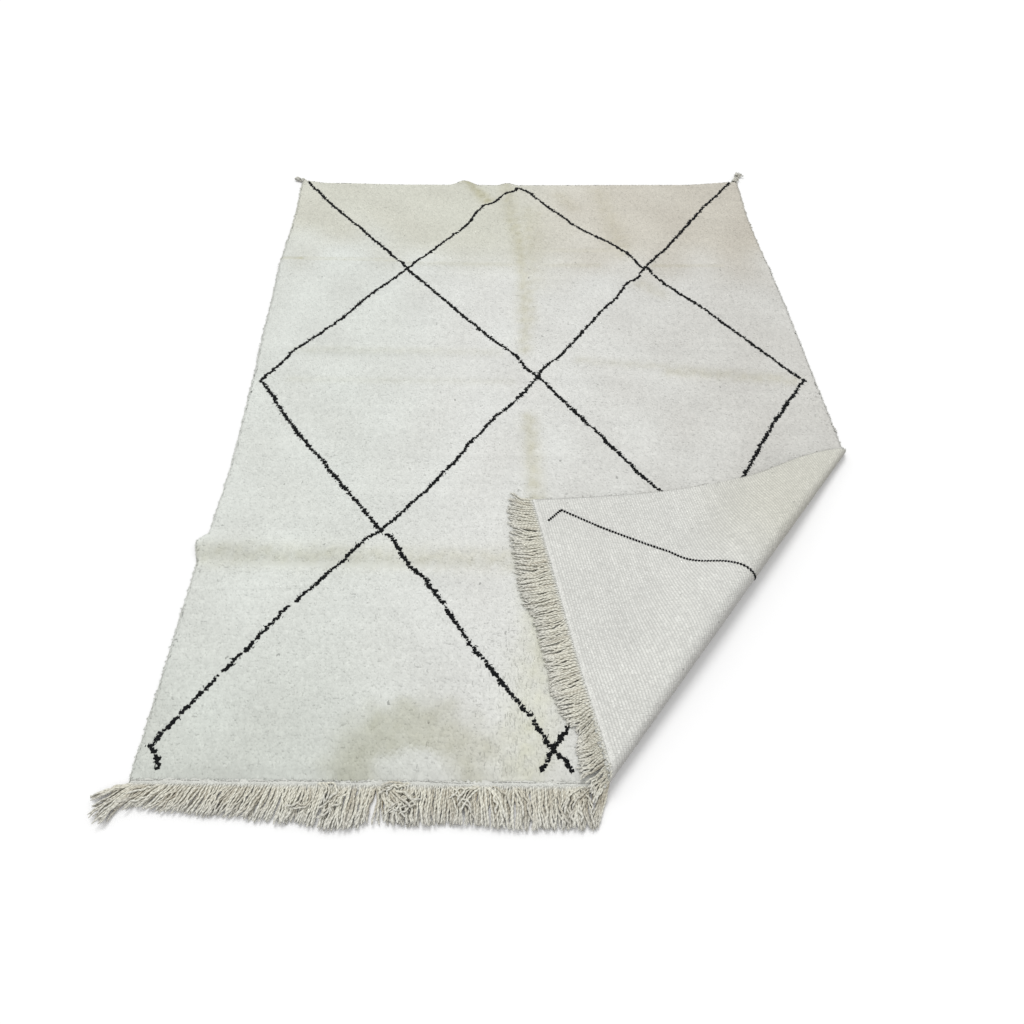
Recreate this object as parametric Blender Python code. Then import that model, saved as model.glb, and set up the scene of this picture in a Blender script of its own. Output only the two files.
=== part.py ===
"""A hand-knotted wool rug with a diamond lattice, lying flat with one corner folded back over it.

Metres, +Z up. X runs across the rug and Y along it, away from the fringed end. The origin is the
middle of the cloth as it was cut, on the surface that the rug lies on. The cloth is first laid out
flat, in its own across, along and up coordinates, and every point then goes to its place in the fold.
"""

import math
import random

import bmesh
import bpy
from mathutils import Vector

# The cloth as it was woven
WIDTH = 1.70
LENGTH = 2.32
THICKNESS = 0.013       # woven ground and pile together
GROUND = 0.004          # the woven ground alone, which is also the bare band at the fringed end
END_BAND = 0.012        # width of that bare band
RIM = 0.007             # width over which the pile rounds off at the cloth's edges
RIM_HEIGHT = 0.006      # height of the pile right at a side edge
NEAR_END = -LENGTH / 2

# The fold: its outer line runs from the right edge to the fringed end
FOLD_RIGHT = Vector((0.846, -0.268))
FOLD_NEAR = Vector((0.111, NEAR_END))
# Radius of the cloth's middle surface in the bend. Columns: share of the way to the near end, radius
BEND_RADII = ((0.0, 0.012), (0.4, 0.029), (0.6, 0.031), (1.0, 0.021))
LAYER_GAP = 0.003            # between the two layers, pile to pile
SETTLE_LENGTH = 0.18         # the upper layer comes down onto the lower one over this length
EDGE_PULL = 0.040            # the folded side edge hangs in by this much at its middle
PULL_REACH = 0.15            # distance from the bend at which the pull is full

# Mesh spacing on the flat cloth
COARSE_STEP = 0.085
FINE_STEP = 0.026
BEND_STEP = 0.0105
CORNER_STEP = 3 * BEND_STEP  # on the folded corner, from the bend until the layer has settled
CORNER_REACH = 0.24          # the finer mesh ends this far past the first cut
SNAP = 0.003                 # a cut this close to a corner of the mesh goes through the corner
WELD = 0.00001

# Fringe
SEAM_GAP = 0.0003            # between the cloth's end and the strip that the fringe grows from
STRIP_DEPTH = 0.004
STRIP_THICKNESS = 0.0035
STRAND_WIDTH = 0.0038
STRAND_PITCH = 0.0098
STRAND_TIP = 0.7             # width of a strand's end, as a share of its root
STRAND_STEPS = 3             # stretches that a strand is made of
STRAND_DROP = 0.67           # a strand is down on what it lies on after this share of its length
LEAN_SPREAD = 1.2            # degrees that a strand may stray from its neighbours
LENGTH_SPREAD = (0.94, 1.03)
PILE_CLEARANCE = 0.001       # strands lie this far above the pile
STRIP_INSET = 0.001          # a strip starts this far in from the cloth's corner or the bend's start
BEND_CLEARANCE = 0.005       # the front strip ends this far before the bend's start

# The cloth's edges: how far out (or along) each edge lies at a few places; columns: place, edge
LEFT_EDGE = (
    (-1.160, -0.857), (-0.850, -0.849), (-0.640, -0.845), (-0.578, -0.856), (-0.535, -0.834),
    (-0.300, -0.826), (0.020, -0.832), (0.300, -0.841), (0.630, -0.849), (0.900, -0.844), (1.160, -0.852),
)
RIGHT_EDGE = (
    (-1.160, 0.850), (-0.268, 0.846), (0.300, 0.846), (0.880, 0.834), (1.160, 0.845),
)
FAR_EDGE = (
    (-0.860, 1.160), (-0.740, 1.139), (-0.420, 1.128), (0.000, 1.124), (0.620, 1.127), (0.860, 1.150),
)

# Ripples where the cloth stands off the floor, each along a line that fades from start to end.
# Columns: start across, start along, end across, end along, half width, start height, end height
RIPPLES = (
    (-0.880, -0.580, -0.060, -0.625, 0.050, 0.011, 0.000),
    (-0.216, 1.200, -0.216, 0.900, 0.060, 0.024, 0.000),
    (-0.045, 1.200, -0.055, 0.960, 0.045, 0.013, 0.000),
    (-0.880, 0.606, 0.000, 0.604, 0.050, 0.004, 0.002),
    (0.880, 0.575, 0.000, 0.604, 0.050, 0.004, 0.002),
    (-0.880, 0.152, 0.200, 0.138, 0.050, 0.004, 0.001),
)

# How the fringe lies at the lying end. Columns: place across, lean from straight out in degrees
# (positive to the right), length, bend along its length in degrees
FRONT_FRINGE = (
    (-0.856, -64.0, 0.090, -8.0),
    (-0.838, -52.0, 0.104, -8.0),
    (-0.812, -44.0, 0.080, -6.0),
    (-0.770, -36.0, 0.074, -5.0),
    (-0.640, -18.0, 0.078, -6.0),
    (-0.530, -12.0, 0.090, -8.0),
    (-0.500, -4.0, 0.090, 6.0),
    (-0.440, -3.0, 0.100, -6.0),
    (-0.375, -7.0, 0.096, -8.0),
    (-0.335, 4.0, 0.084, 6.0),
    (-0.200, 1.0, 0.084, -4.0),
    (-0.060, 0.0, 0.090, 4.0),
    (0.090, 1.0, 0.088, 2.0),
)

# The same on the folded corner, by place across
FOLDED_FRINGE = (
    (0.185, -14.0, 0.072, -16.0),
    (0.250, -6.0, 0.076, -14.0),
    (0.400, -8.0, 0.078, -6.0),
    (0.560, -5.0, 0.080, -4.0),
    (0.700, 8.0, 0.082, 2.0),
    (0.850, 24.0, 0.078, 8.0),
)

# Strands that hang out of the bend itself, by place across. Columns: place, lean, length
BEND_STRANDS = ((0.092, -6.0, 0.086), (0.104, -8.0, 0.084), (0.117, -9.0, 0.080))

# Knotted tassels at the far corners. Columns: name, corner across, corner along, direction in
# degrees from +X, width, length of the knot, strand length, strand count
TASSELS = (
    ("tassel_far_left", -0.853, 1.157, 128.0, 0.018, 0.020, 0.026, 4),
    ("tassel_far_right", 0.842, 1.147, 74.0, 0.024, 0.026, 0.040, 5),
)
TASSEL_THICKNESS = 0.006
TASSEL_STRIP = 0.008
TASSEL_STRAND = 0.6          # width of a tassel's strand, as a share of the strands' pitch
TASSEL_SPREAD = 50           # degrees between a tassel's outer strands
KNOT_WIDTH = 0.8             # as a share of the tassel's width
KNOT_HEIGHT = 0.6            # as a share of the knot's width
KNOT_SINK = 0.46             # the ball's middle stands this share of its height over the floor

WOOL_COLOR = (0.80, 0.79, 0.72)
YARN_COLOR = (0.66, 0.61, 0.51)


def ease(t):
    """0 below 0, 1 above 1, and a smooth rise between."""
    t = min(max(t, 0.0), 1.0)
    return t * t * (3 - 2 * t)


def between_rows(table, place):
    """The values of a table at a place between its rows, easing from one row to the next."""
    for row, following in zip(table, table[1:]):
        if place <= following[0]:
            t = ease((place - row[0]) / (following[0] - row[0]))
            return [a + (b - a) * t for a, b in zip(row[1:], following[1:])]
    return list(table[-1][1:])


FOLD_SPAN = (FOLD_NEAR - FOLD_RIGHT).length
FOLD_ALONG = (FOLD_NEAR - FOLD_RIGHT).normalized()
FOLD_OUT = Vector((-FOLD_ALONG.y, FOLD_ALONG.x))


def fold_coordinates(across, along):
    """How far a point lies past the fold's outer line, and how far along that line."""
    offset = Vector((across, along)) - FOLD_RIGHT
    return offset.dot(FOLD_OUT), offset.dot(FOLD_ALONG)


def bend_radius(side):
    """Radius of the bend at a place along the fold."""
    radius, = between_rows(BEND_RADII, min(max(side / FOLD_SPAN, 0.0), 1.0))
    return radius


def ripple_height(across, along):
    """How far the cloth stands off the floor at a point that isn't folded."""
    height = 0.0
    for x0, y0, x1, y1, half_width, start, end in RIPPLES:
        line = Vector((x1 - x0, y1 - y0))
        offset = Vector((across - x0, along - y0))
        share = min(max(offset.dot(line) / line.length_squared, 0.0), 1.0)
        distance = (offset - line * share).length
        if distance < half_width:
            height += (start + (end - start) * share) * math.cos(math.pi / 2 * distance / half_width) ** 2
    return height


def place(across, along, up):
    """Where a point of the flat cloth lies: on the floor, in the bend, or on the folded corner."""
    beyond, side = fold_coordinates(across, along)
    radius = bend_radius(side)
    bend_start = -(radius + THICKNESS / 2)
    past = beyond - bend_start
    if past <= 0:
        return Vector((across, along, up + ripple_height(across, along)))
    from_middle = up - THICKNESS / 2
    bend_length = math.pi * radius
    if past < bend_length:
        angle = past / radius
        out = bend_start + (radius - from_middle) * math.sin(angle)
        height = THICKNESS / 2 + radius - (radius - from_middle) * math.cos(angle)
        pull = 0.0
    else:
        run = past - bend_length
        fall = (2 * radius - THICKNESS - LAYER_GAP) * ease(run / SETTLE_LENGTH)
        out = bend_start - run
        height = THICKNESS / 2 + 2 * radius - from_middle - fall
        down_edge = (FOLD_RIGHT.y - along) / (FOLD_RIGHT.y - NEAR_END)
        arch = math.sin(math.pi * min(max(down_edge, 0.0), 1.0))
        pull = EDGE_PULL * arch * ease(run / PULL_REACH)
    spot = FOLD_RIGHT + FOLD_ALONG * side + FOLD_OUT * out
    return Vector((spot.x, spot.y - pull, height))


def pile_height(across, along):
    """Height of the pile's tips over the cloth's back, at a point of the flat cloth."""
    from_end = along - NEAR_END - END_BAND
    if from_end < 0:
        return GROUND
    left, = between_rows(LEFT_EDGE, along)
    right, = between_rows(RIGHT_EDGE, along)
    far, = between_rows(FAR_EDGE, across)
    from_edge = min(across - left, right - across, far - along)
    full = THICKNESS - RIM_HEIGHT
    height = RIM_HEIGHT + full * ease(from_edge / RIM)
    return GROUND + (height - GROUND) * ease(from_end / RIM)


def stations(start, end, fine_zones):
    """Places from start to end, closer together inside the fine zones."""
    places = [start]
    while places[-1] < end:
        here = places[-1]
        fine = any(low < here + COARSE_STEP and here < high for low, high in fine_zones)
        places.append(here + (FINE_STEP if fine else COARSE_STEP))
    places[-1] = end
    if end - places[-2] < FINE_STEP / 2:
        del places[-2]
    return places


def cross_lines():
    """Places of the mesh's cross lines, from the fringed end to the far one."""
    zones = [(y0 - w, y0 + w) for x0, y0, x1, y1, w, start, end in RIPPLES if abs(x1 - x0) > abs(y1 - y0)]
    inner = stations(NEAR_END + END_BAND + RIM, -NEAR_END - RIM, zones)
    return [NEAR_END, NEAR_END + END_BAND, *inner, -NEAR_END]


def long_lines():
    """Places of the mesh's lengthwise lines, from the left edge to the right one."""
    zones = [(x1 - w, x1 + w) for x0, y0, x1, y1, w, start, end in RIPPLES if abs(y1 - y0) > abs(x1 - x0)]
    inner = stations(-WIDTH / 2 + RIM, WIDTH / 2 - RIM, zones)
    return [-WIDTH / 2, *inner, WIDTH / 2]


def cut_point(across, along):
    """A point of the plain rectangle, moved to where the uneven edges put it."""
    left, = between_rows(LEFT_EDGE, along)
    right, = between_rows(RIGHT_EDGE, along)
    share = (across + WIDTH / 2) / WIDTH
    across = left + (right - left) * share
    far, = between_rows(FAR_EDGE, across)
    to_far = ease((along - NEAR_END) / LENGTH)
    return across, along + (far + NEAR_END) * to_far


def flat_cloth():
    """The cloth laid out flat, as one layer of faces with extra lines where it bends."""
    mesh = bmesh.new()
    rows = []
    for along in cross_lines():
        rows.append([mesh.verts.new((*cut_point(across, along), 0.0)) for across in long_lines()])
    for low, high in zip(rows, rows[1:]):
        for a, b, c, d in zip(low, low[1:], high[1:], high):
            mesh.faces.new((a, b, c, d))
    widest = max(radius for _, radius in BEND_RADII)
    first_cut = -(widest + THICKNESS / 2)
    cuts = [first_cut + i * BEND_STEP for i in range(math.ceil(math.pi * widest / BEND_STEP) + 1)]
    while cuts[-1] < CORNER_REACH:
        cuts.append(cuts[-1] + CORNER_STEP)
    for distance in cuts:
        spot = FOLD_RIGHT + FOLD_OUT * distance
        geometry = mesh.verts[:] + mesh.edges[:] + mesh.faces[:]
        bmesh.ops.bisect_plane(
            mesh, geom=geometry, dist=SNAP, plane_co=(spot.x, spot.y, 0), plane_no=(FOLD_OUT.x, FOLD_OUT.y, 0)
        )
    bmesh.ops.triangulate(mesh, faces=mesh.faces[:])
    return mesh


def rug():
    """The piled cloth in one piece, with its folded corner."""
    mesh = flat_cloth()
    lower = mesh.faces[:]
    made = bmesh.ops.extrude_face_region(mesh, geom=lower, use_keep_orig=True)["geom"]
    upper = {v for v in made if isinstance(v, bmesh.types.BMVert)}
    bmesh.ops.reverse_faces(mesh, faces=lower)
    for vert in mesh.verts:
        across, along, up = vert.co
        if vert in upper:
            up = pile_height(across, along)
        vert.co = place(across, along, up)
    bmesh.ops.recalc_face_normals(mesh, faces=mesh.faces[:])
    return mesh


def ring(mesh, centre, side, up):
    """Four corners round a centre, a half width and a half height away."""
    corners = (centre - side - up, centre + side - up, centre + side + up, centre - side + up)
    return [mesh.verts.new(corner) for corner in corners]


def join_rings(mesh, first, second, skip=()):
    """Faces between two rings of four, apart from the sides to skip."""
    for i in range(4):
        if i not in skip:
            mesh.faces.new((first[i], first[(i + 1) % 4], second[(i + 1) % 4], second[i]))


def strand(mesh, root, spine):
    """One strand that grows from four corners of the strip along a spine of ring sizes."""
    last = root
    for centre, side, up in spine:
        step = ring(mesh, centre, side, up)
        join_rings(mesh, last, step)
        last = step
    mesh.faces.new(last)


def strip_cells(start, places, half_width, end):
    """Cells of a strip from start to end, as (start, end, strand index or None).

    A strand grows from a cell round each of the places, and what lies between stays plain.
    """
    cells = []
    here = start
    for index, spot in enumerate([*places, None]):
        goal = end if spot is None else spot - half_width
        pieces = max(1, round((goal - here) / BEND_STEP))
        cells += [(here + (goal - here) * i / pieces, here + (goal - here) * (i + 1) / pieces, None)
                  for i in range(pieces)]
        if spot is not None:
            here = spot + half_width
            cells.append((goal, here, index))
    return cells


def fringe_strip(cells, corner, spine_of):
    """A narrow strip with strands on some of its cells, in one closed body.

    corner(place, outer, upper) gives a corner of a cross section, and spine_of(index, root corners)
    the ring centres and sizes of a strand.
    """
    mesh = bmesh.new()
    sections = []
    for spot in [cells[0][0]] + [cell[1] for cell in cells]:
        corners = [corner(spot, outer, upper) for outer, upper in ((0, 0), (1, 0), (1, 1), (0, 1))]
        sections.append([mesh.verts.new(c) for c in corners])
    outer_side = 1
    for (_, _, index), first, second in zip(cells, sections, sections[1:]):
        join_rings(mesh, first, second, skip=() if index is None else (outer_side,))
        if index is not None:
            root = [first[1], second[1], second[2], first[2]]
            strand(mesh, root, spine_of(index, [v.co.copy() for v in root]))
    mesh.faces.new(sections[0])
    mesh.faces.new(sections[-1])
    bmesh.ops.recalc_face_normals(mesh, faces=mesh.faces[:])
    return mesh


def cloth_end_corner(across, outer, upper):
    """A corner of the strip that follows the cloth's fringed end, fold and all."""
    along = NEAR_END - SEAM_GAP - (STRIP_DEPTH if outer else 0.0)
    return place(across, along, STRIP_THICKNESS if upper else 0.0)


def root_frame(root):
    """Centre, half width and half height of the face that a strand grows from."""
    centre = sum(root, Vector()) / 4
    return centre, (root[1] - root[0]) / 2, (root[3] - root[0]) / 2


def lying_spine(root, heading, bend, length, rest_height, flipped):
    """A strand that leaves its root and comes to rest level at a height, slightly bent."""
    centre, side, up = root_frame(root)
    half_width = side.length
    half_height = up.length
    sign = -1 if flipped else 1
    spine = []
    spot = centre.copy()
    angle = heading - bend / 2
    for k in range(1, STRAND_STEPS + 1):
        share = k / STRAND_STEPS
        spot.x += math.cos(angle) * length / STRAND_STEPS
        spot.y += math.sin(angle) * length / STRAND_STEPS
        angle += bend / (STRAND_STEPS - 1)
        size = 1 + (STRAND_TIP - 1) * share
        height = half_height * size
        spot.z = rest_height + height + (centre.z - rest_height - height) * (1 - ease(share / STRAND_DROP))
        across = Vector((-math.sin(angle), math.cos(angle), 0)) * (half_width * size * sign)
        spine.append((spot.copy(), across, Vector((0, 0, height * sign))))
    return spine


def near_end_bend_start():
    """Place across where the fringed end starts to leave the floor."""
    return FOLD_NEAR.x - (bend_radius(FOLD_SPAN) + THICKNESS / 2) / FOLD_OUT.x


def front_fringe():
    """Fringe of the lying part of the end, from the left corner to the bend."""
    dice = random.Random(11)
    start = LEFT_EDGE[0][1] + STRIP_INSET
    count = int((near_end_bend_start() - BEND_CLEARANCE - start) / STRAND_PITCH)
    places = [start + STRAND_PITCH * (i + 0.5) for i in range(count)]

    def spine_of(index, root):
        lean, length, bend = between_rows(FRONT_FRINGE, places[index])
        heading = math.radians(-90 + lean + dice.uniform(-LEAN_SPREAD, LEAN_SPREAD))
        length *= dice.uniform(*LENGTH_SPREAD)
        return lying_spine(root, heading, math.radians(bend), length, 0.0, flipped=False)

    end = places[-1] + STRAND_PITCH / 2
    return fringe_strip(strip_cells(start, places, STRAND_WIDTH / 2, end), cloth_end_corner, spine_of)


def folded_fringe():
    """Fringe of the folded corner: in the bend it reaches the floor, past it it lies on the pile."""
    dice = random.Random(12)
    first = FOLDED_FRINGE[0][0]
    last = RIGHT_EDGE[0][1] - STRAND_PITCH
    count = int((last - first) / STRAND_PITCH) + 1
    places = [row[0] for row in BEND_STRANDS] + [first + STRAND_PITCH * i for i in range(count)]
    out = reflected_end_direction()
    straight_out = math.atan2(out.y, out.x)

    def spine_of(index, root):
        if index < len(BEND_STRANDS):
            spot, lean, length = BEND_STRANDS[index]
            heading = math.radians(-90 + lean)
            return lying_spine(root, heading, 0.0, length, 0.0, flipped=False)
        lean, length, bend = between_rows(FOLDED_FRINGE, places[index])
        heading = straight_out - math.radians(lean + dice.uniform(-LEAN_SPREAD, LEAN_SPREAD))
        length *= dice.uniform(*LENGTH_SPREAD)
        rest = THICKNESS + PILE_CLEARANCE
        return lying_spine(root, heading, math.radians(-bend), length, rest, flipped=True)

    start = near_end_bend_start() + STRIP_INSET
    end = places[-1] + STRAND_PITCH / 2
    return fringe_strip(strip_cells(start, places, STRAND_WIDTH / 2, end), cloth_end_corner, spine_of)


def reflected_end_direction():
    """Which way the fringe points once the corner is folded over."""
    outward = Vector((0.0, -1.0))
    return FOLD_ALONG * (2 * outward.dot(FOLD_ALONG)) - outward


def tassel(corner_across, corner_along, direction, width, knot_length, strand_length, count):
    """A knotted tassel on the floor at a far corner: a strip of strands grown out of a knot."""
    heading = math.radians(direction)
    out = Vector((math.cos(heading), math.sin(heading), 0))
    side = Vector((out.y, -out.x, 0))
    start = Vector((corner_across, corner_along, 0)) + out * (2 * SEAM_GAP + RIM)
    pitch = width / count

    def corner(spot, outer, upper):
        reach = knot_length / 2 + (TASSEL_STRIP if outer else 0.0)
        return start + out * reach - side * spot + Vector((0, 0, TASSEL_THICKNESS if upper else 0.0))

    places = [-width / 2 + pitch * (i + 0.5) for i in range(count)]

    def spine_of(index, root):
        lean = math.radians(TASSEL_SPREAD) * places[index] / width
        return lying_spine(root, heading + lean, 0.0, strand_length, 0.0, flipped=False)

    cells = strip_cells(-width / 2, places, pitch * TASSEL_STRAND / 2, width / 2)
    mesh = fringe_strip(cells, corner, spine_of)
    return mesh, start + out * knot_length / 2, heading


def knot_object(name, centre, heading, width, length):
    """The wound knot of a tassel, a flattened ball that stands on the floor."""
    mesh = bmesh.new()
    bmesh.ops.create_uvsphere(mesh, u_segments=12, v_segments=8, radius=0.5)
    height = width * KNOT_HEIGHT
    for vert in mesh.verts:
        x, y, z = vert.co
        x *= length
        y *= width
        vert.co = (
            centre.x + x * math.cos(heading) - y * math.sin(heading),
            centre.y + x * math.sin(heading) + y * math.cos(heading),
            max((z + KNOT_SINK) * height, 0.0),
        )
    bmesh.ops.remove_doubles(mesh, verts=mesh.verts[:], dist=WELD)
    return add_object(name, mesh, None)


def material(name, color, roughness):
    """A plain Principled finish."""
    made = bpy.data.materials.new(name)
    made.use_nodes = True
    shader = made.node_tree.nodes["Principled BSDF"]
    shader.inputs["Base Color"].default_value = (*color, 1.0)
    shader.inputs["Roughness"].default_value = roughness
    shader.inputs["Metallic"].default_value = 0.0
    return made


def add_object(name, mesh, finish):
    """Puts a finished mesh into the scene under its name."""
    data = bpy.data.meshes.new(name)
    mesh.to_mesh(data)
    mesh.free()
    made = bpy.data.objects.new(name, data)
    if finish:
        data.materials.append(finish)
    bpy.context.scene.collection.objects.link(made)
    return made


def add_tassel(row, finish):
    """A tassel whose strands and knot are joined into one body."""
    name, across, along, direction, width, knot_length, strand_length, count = row
    mesh, knot_centre, heading = tassel(across, along, direction, width, knot_length, strand_length, count)
    body = add_object(name, mesh, finish)
    knot = knot_object(name + "_knot", knot_centre, heading, width * KNOT_WIDTH, knot_length)
    knot.hide_render = True
    knot.display_type = "WIRE"
    union = body.modifiers.new("knot", "BOOLEAN")
    union.operation = "UNION"
    union.solver = "EXACT"
    union.object = knot


def main():
    """Builds every piece of the rug."""
    for old in list(bpy.data.objects):
        bpy.data.objects.remove(old, do_unlink=True)
    wool = material("wool", WOOL_COLOR, 0.95)
    yarn = material("yarn", YARN_COLOR, 0.9)
    cloth = add_object("rug", rug(), wool)
    cloth.data.shade_smooth()
    cloth.data.set_sharp_from_angle(angle=math.radians(50))
    add_object("fringe_front", front_fringe(), yarn)
    add_object("fringe_folded", folded_fringe(), yarn)
    for row in TASSELS:
        add_tassel(row, yarn)


main()
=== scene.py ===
"""Looks of a hand-knotted wool rug with a diamond lattice, lying flat with one corner folded back.

Metres, +Z up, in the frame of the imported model: X across the rug, Y along it and away from the
fringed end. As in the model's own source, the cloth is laid out flat in across, along and up
coordinates, and lie() takes every point to its place on the floor, in the bend or on the fold.
"""

import math

import bmesh
import bpy
import numpy as np
from mathutils import Matrix, Vector
from mathutils.kdtree import KDTree


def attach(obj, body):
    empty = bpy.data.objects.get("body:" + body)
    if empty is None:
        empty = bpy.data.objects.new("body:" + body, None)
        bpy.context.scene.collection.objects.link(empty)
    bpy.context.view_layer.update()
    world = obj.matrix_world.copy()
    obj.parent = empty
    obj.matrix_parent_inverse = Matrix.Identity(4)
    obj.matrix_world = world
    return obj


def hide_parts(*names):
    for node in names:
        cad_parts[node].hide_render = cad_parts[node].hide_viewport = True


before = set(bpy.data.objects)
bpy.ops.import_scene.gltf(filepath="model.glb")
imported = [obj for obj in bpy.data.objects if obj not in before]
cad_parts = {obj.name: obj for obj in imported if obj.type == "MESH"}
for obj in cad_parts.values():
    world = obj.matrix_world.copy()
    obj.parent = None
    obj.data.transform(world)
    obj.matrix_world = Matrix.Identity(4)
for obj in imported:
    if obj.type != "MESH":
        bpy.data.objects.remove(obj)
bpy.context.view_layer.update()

# Some tables give places and lengths in millimetres, and are divided by these to be in metres, with
# amounts and angles left as they are
MM = 1000
STREAK = (MM, MM, MM, MM, MM, 1)
STRAND = (MM, 1, MM, 1)

# The cloth as it was woven
WIDTH = 1.70
LENGTH = 2.32
THICKNESS = 0.013
GROUND = 0.004               # thickness of the weave without the pile
RIM = 0.007                  # width over which the pile rises from the sides and the far end
RIM_HEIGHT = 0.006
END_RIM = 0.030              # the same at the fringed end
END_HEIGHT = 0.0058
NEAR_END = -LENGTH / 2
WEAVE_END = NEAR_END - 0.007     # where the flat-woven band stops and the warp comes out
PILE_END = NEAR_END + 0.0045     # where the pile stops and the flat-woven band starts

# The fold
FOLD_RIGHT = np.array((0.846, -0.268))
FOLD_NEAR = np.array((0.111, NEAR_END))
BEND_RADII = ((0.0, 0.012), (0.4, 0.029), (0.6, 0.031), (1.0, 0.021))    # share of the fold, radius
LAYER_GAP = 0.003            # between the folded corner and the pile under it
SETTLE_LENGTH = 0.18         # past the bend, within which the corner comes down to that gap
EDGE_PULL = 0.040            # how far the corner's free edge is drawn towards the fringed end
PULL_REACH = 0.15
BEND_SHOWN = 0.8             # share of the bend's radius before the fold where the back starts to show
FOLD_SPAN = float(np.linalg.norm(FOLD_NEAR - FOLD_RIGHT))
FOLD_ALONG = (FOLD_NEAR - FOLD_RIGHT) / FOLD_SPAN
FOLD_OUT = np.array((-FOLD_ALONG[1], FOLD_ALONG[0]))

# The cloth's edges. Columns: place, edge
LEFT_EDGE = np.array((
    (-1160, -857), (-850, -849), (-640, -845), (-578, -856), (-535, -834), (-300, -826), (20, -832),
    (300, -841), (630, -849), (900, -844), (1160, -852),
)) / MM
RIGHT_EDGE = np.array(((-1160, 850), (-268, 846), (300, 846), (880, 834), (1160, 845))) / MM
FAR_EDGE = np.array((
    (-860, 1160), (-740, 1139), (-420, 1128), (0, 1124), (620, 1127), (860, 1150),
)) / MM

# Ripples that stand off the floor.
# Columns: start across, start along, end across, end along, half width, start height, end height
RIPPLES = np.array((
    (-880, -580, -60, -625, 50, 11, 0), (-216, 1200, -216, 900, 60, 24, 0),
    (-45, 1200, -55, 960, 45, 13, 0), (-880, 606, 0, 604, 50, 4, 2), (880, 575, 0, 604, 50, 4, 2),
    (-880, 152, 200, 138, 50, 4, 1),
)) / MM

# Creases where the pile lies lower, or higher where the depth is below 0. Columns: start across,
# start along, end across, end along, half width, depth
CREASES = np.array((
    (-30, 1120, -10, 600, 40, 1.6), (-10, 600, 5, -440, 34, 2.2), (0, -460, -40, -1130, 40, 2),
    (-860, 634, -430, 620, 10, 2.2), (15, 682, 330, 683, 10, 1.4), (420, 588, 720, 589, 10, 1.4),
    (-840, -628, -100, -650, 22, 2.2), (-860, -717, -520, -702, 9, -1.6),
    (-780, 120, -90, 112, 18, 1.4), (80, 60, 800, 20, 22, 1.4),
)) / MM

# Creases in which the wool is warmer and a little soiled, and darker in places as painted shade of
# the creases and of the ripple on the left. Columns: start across, start along, end across, end along,
# half width, amount
SOILED_AND_SHADED_CREASES = np.array((
    (-55, 1120, -36, 880, 30, 0.65), (-36, 880, -20, 770, 26, 0.85), (-20, 770, -2, 500, 26, 0.85),
    (30, 920, 20, 480, 50, 0.5), (-2, 500, -4, 300, 30, 0.95), (-4, 300, -16, 150, 24, 0.75),
    (-11, -140, -4, -470, 24, 0.92), (-850, -612, -60, -622, 34, 0.62),
    (-850, 634, -440, 621, 8, 1), (-400, 600, 250, 590, 12, 0.4), (15, 682, 314, 683, 9, 0.5),
    (440, 588, 680, 589, 9, 0.5), (-720, 150, -100, 140, 18, 0.3), (-720, 18, -60, 10, 14, 0.25),
    (150, 105, 520, 66, 18, 0.35), (420, 60, 780, 20, 26, 0.6), (-205, 1135, -130, 1010, 26, 1.3),
    (300, 1060, 350, 660, 40, 0.45), (383, 490, 455, 430, 24, 0.45), (150, 1040, 190, 960, 30, 0.4),
)) / STREAK

# Yellowed wool beside the folded corner's fringe. Columns as above
YELLOWED = np.array(((-15, -480, -15, -900, 40, 1), (-15, -900, -55, -1130, 62, 0.85))) / STREAK

# Pile so worn that the gaps between its knots show, with more slivers of painted shade there. Columns as
# above
WORN = np.array(((-10, -600, -30, -900, 45, 0.7), (-45, -900, -80, -1140, 85, 1))) / STREAK

# Stain, a ring round cleaner wool. Columns: across, along, radius across, radius along, amount
STAINS = np.array((
    (-288, -1130, 165, 140, 1), (-282, -1145, 85, 52, -0.85), (-60, -1080, 70, 80, 0.25),
)) / (MM, MM, MM, MM, 1)

# Edge of the warmer, older-looking wool at the far end. Columns: across, along
WARM_EDGE = np.array(((-850, 740), (-560, 760), (-420, 650), (0, 600), (850, 600))) / MM
WARM_FADE = 0.34             # width over which that wool goes over into the rest

# Knots, gaps and ridges
ROW = 0.0065                 # along the warp, from one row of knots to the next
KNOT = 0.0070                # along a row
TUFT_PITCH = 0.0058          # between the yarn ends that show in the pile
LINE_STEP = 0.0046           # between the dark knots along a line of the lattice
LINE_KNOT = (0.0102, 0.0056)     # width and length of such a knot
DOT_PITCH = 0.0074           # between the dark knots along the line on the back
PILE_BANDS = 4
COVER_MARGIN = 0.050         # how far in from the corner's edges no pile is needed under it
MOUTH_MARGIN = 0.120         # the same from the bend's open end
LINE_CLEARANCE = 0.0044      # from a dark knot to the nearest cream tuft
SEAM_WIDTH = 0.0034          # between the pile's edge and the first tufts
SHADED_GAP_SHARE = 0.018            # share of the pile's spots with a dark sliver, painted shade of a gap
WORN_SHADED_GAP_SHARE = 0.36        # how much larger that share is where the pile is worn
WEFT = 0.0024                # from one weft ridge of the flat-woven band to the next
WEFT_RIDGE = 0.0052          # along a ridge, from one bulge to the next
OVERCAST_PITCH = 0.0065      # between the turns of yarn round the edges
FUZZ_PITCH = 0.0031

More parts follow.
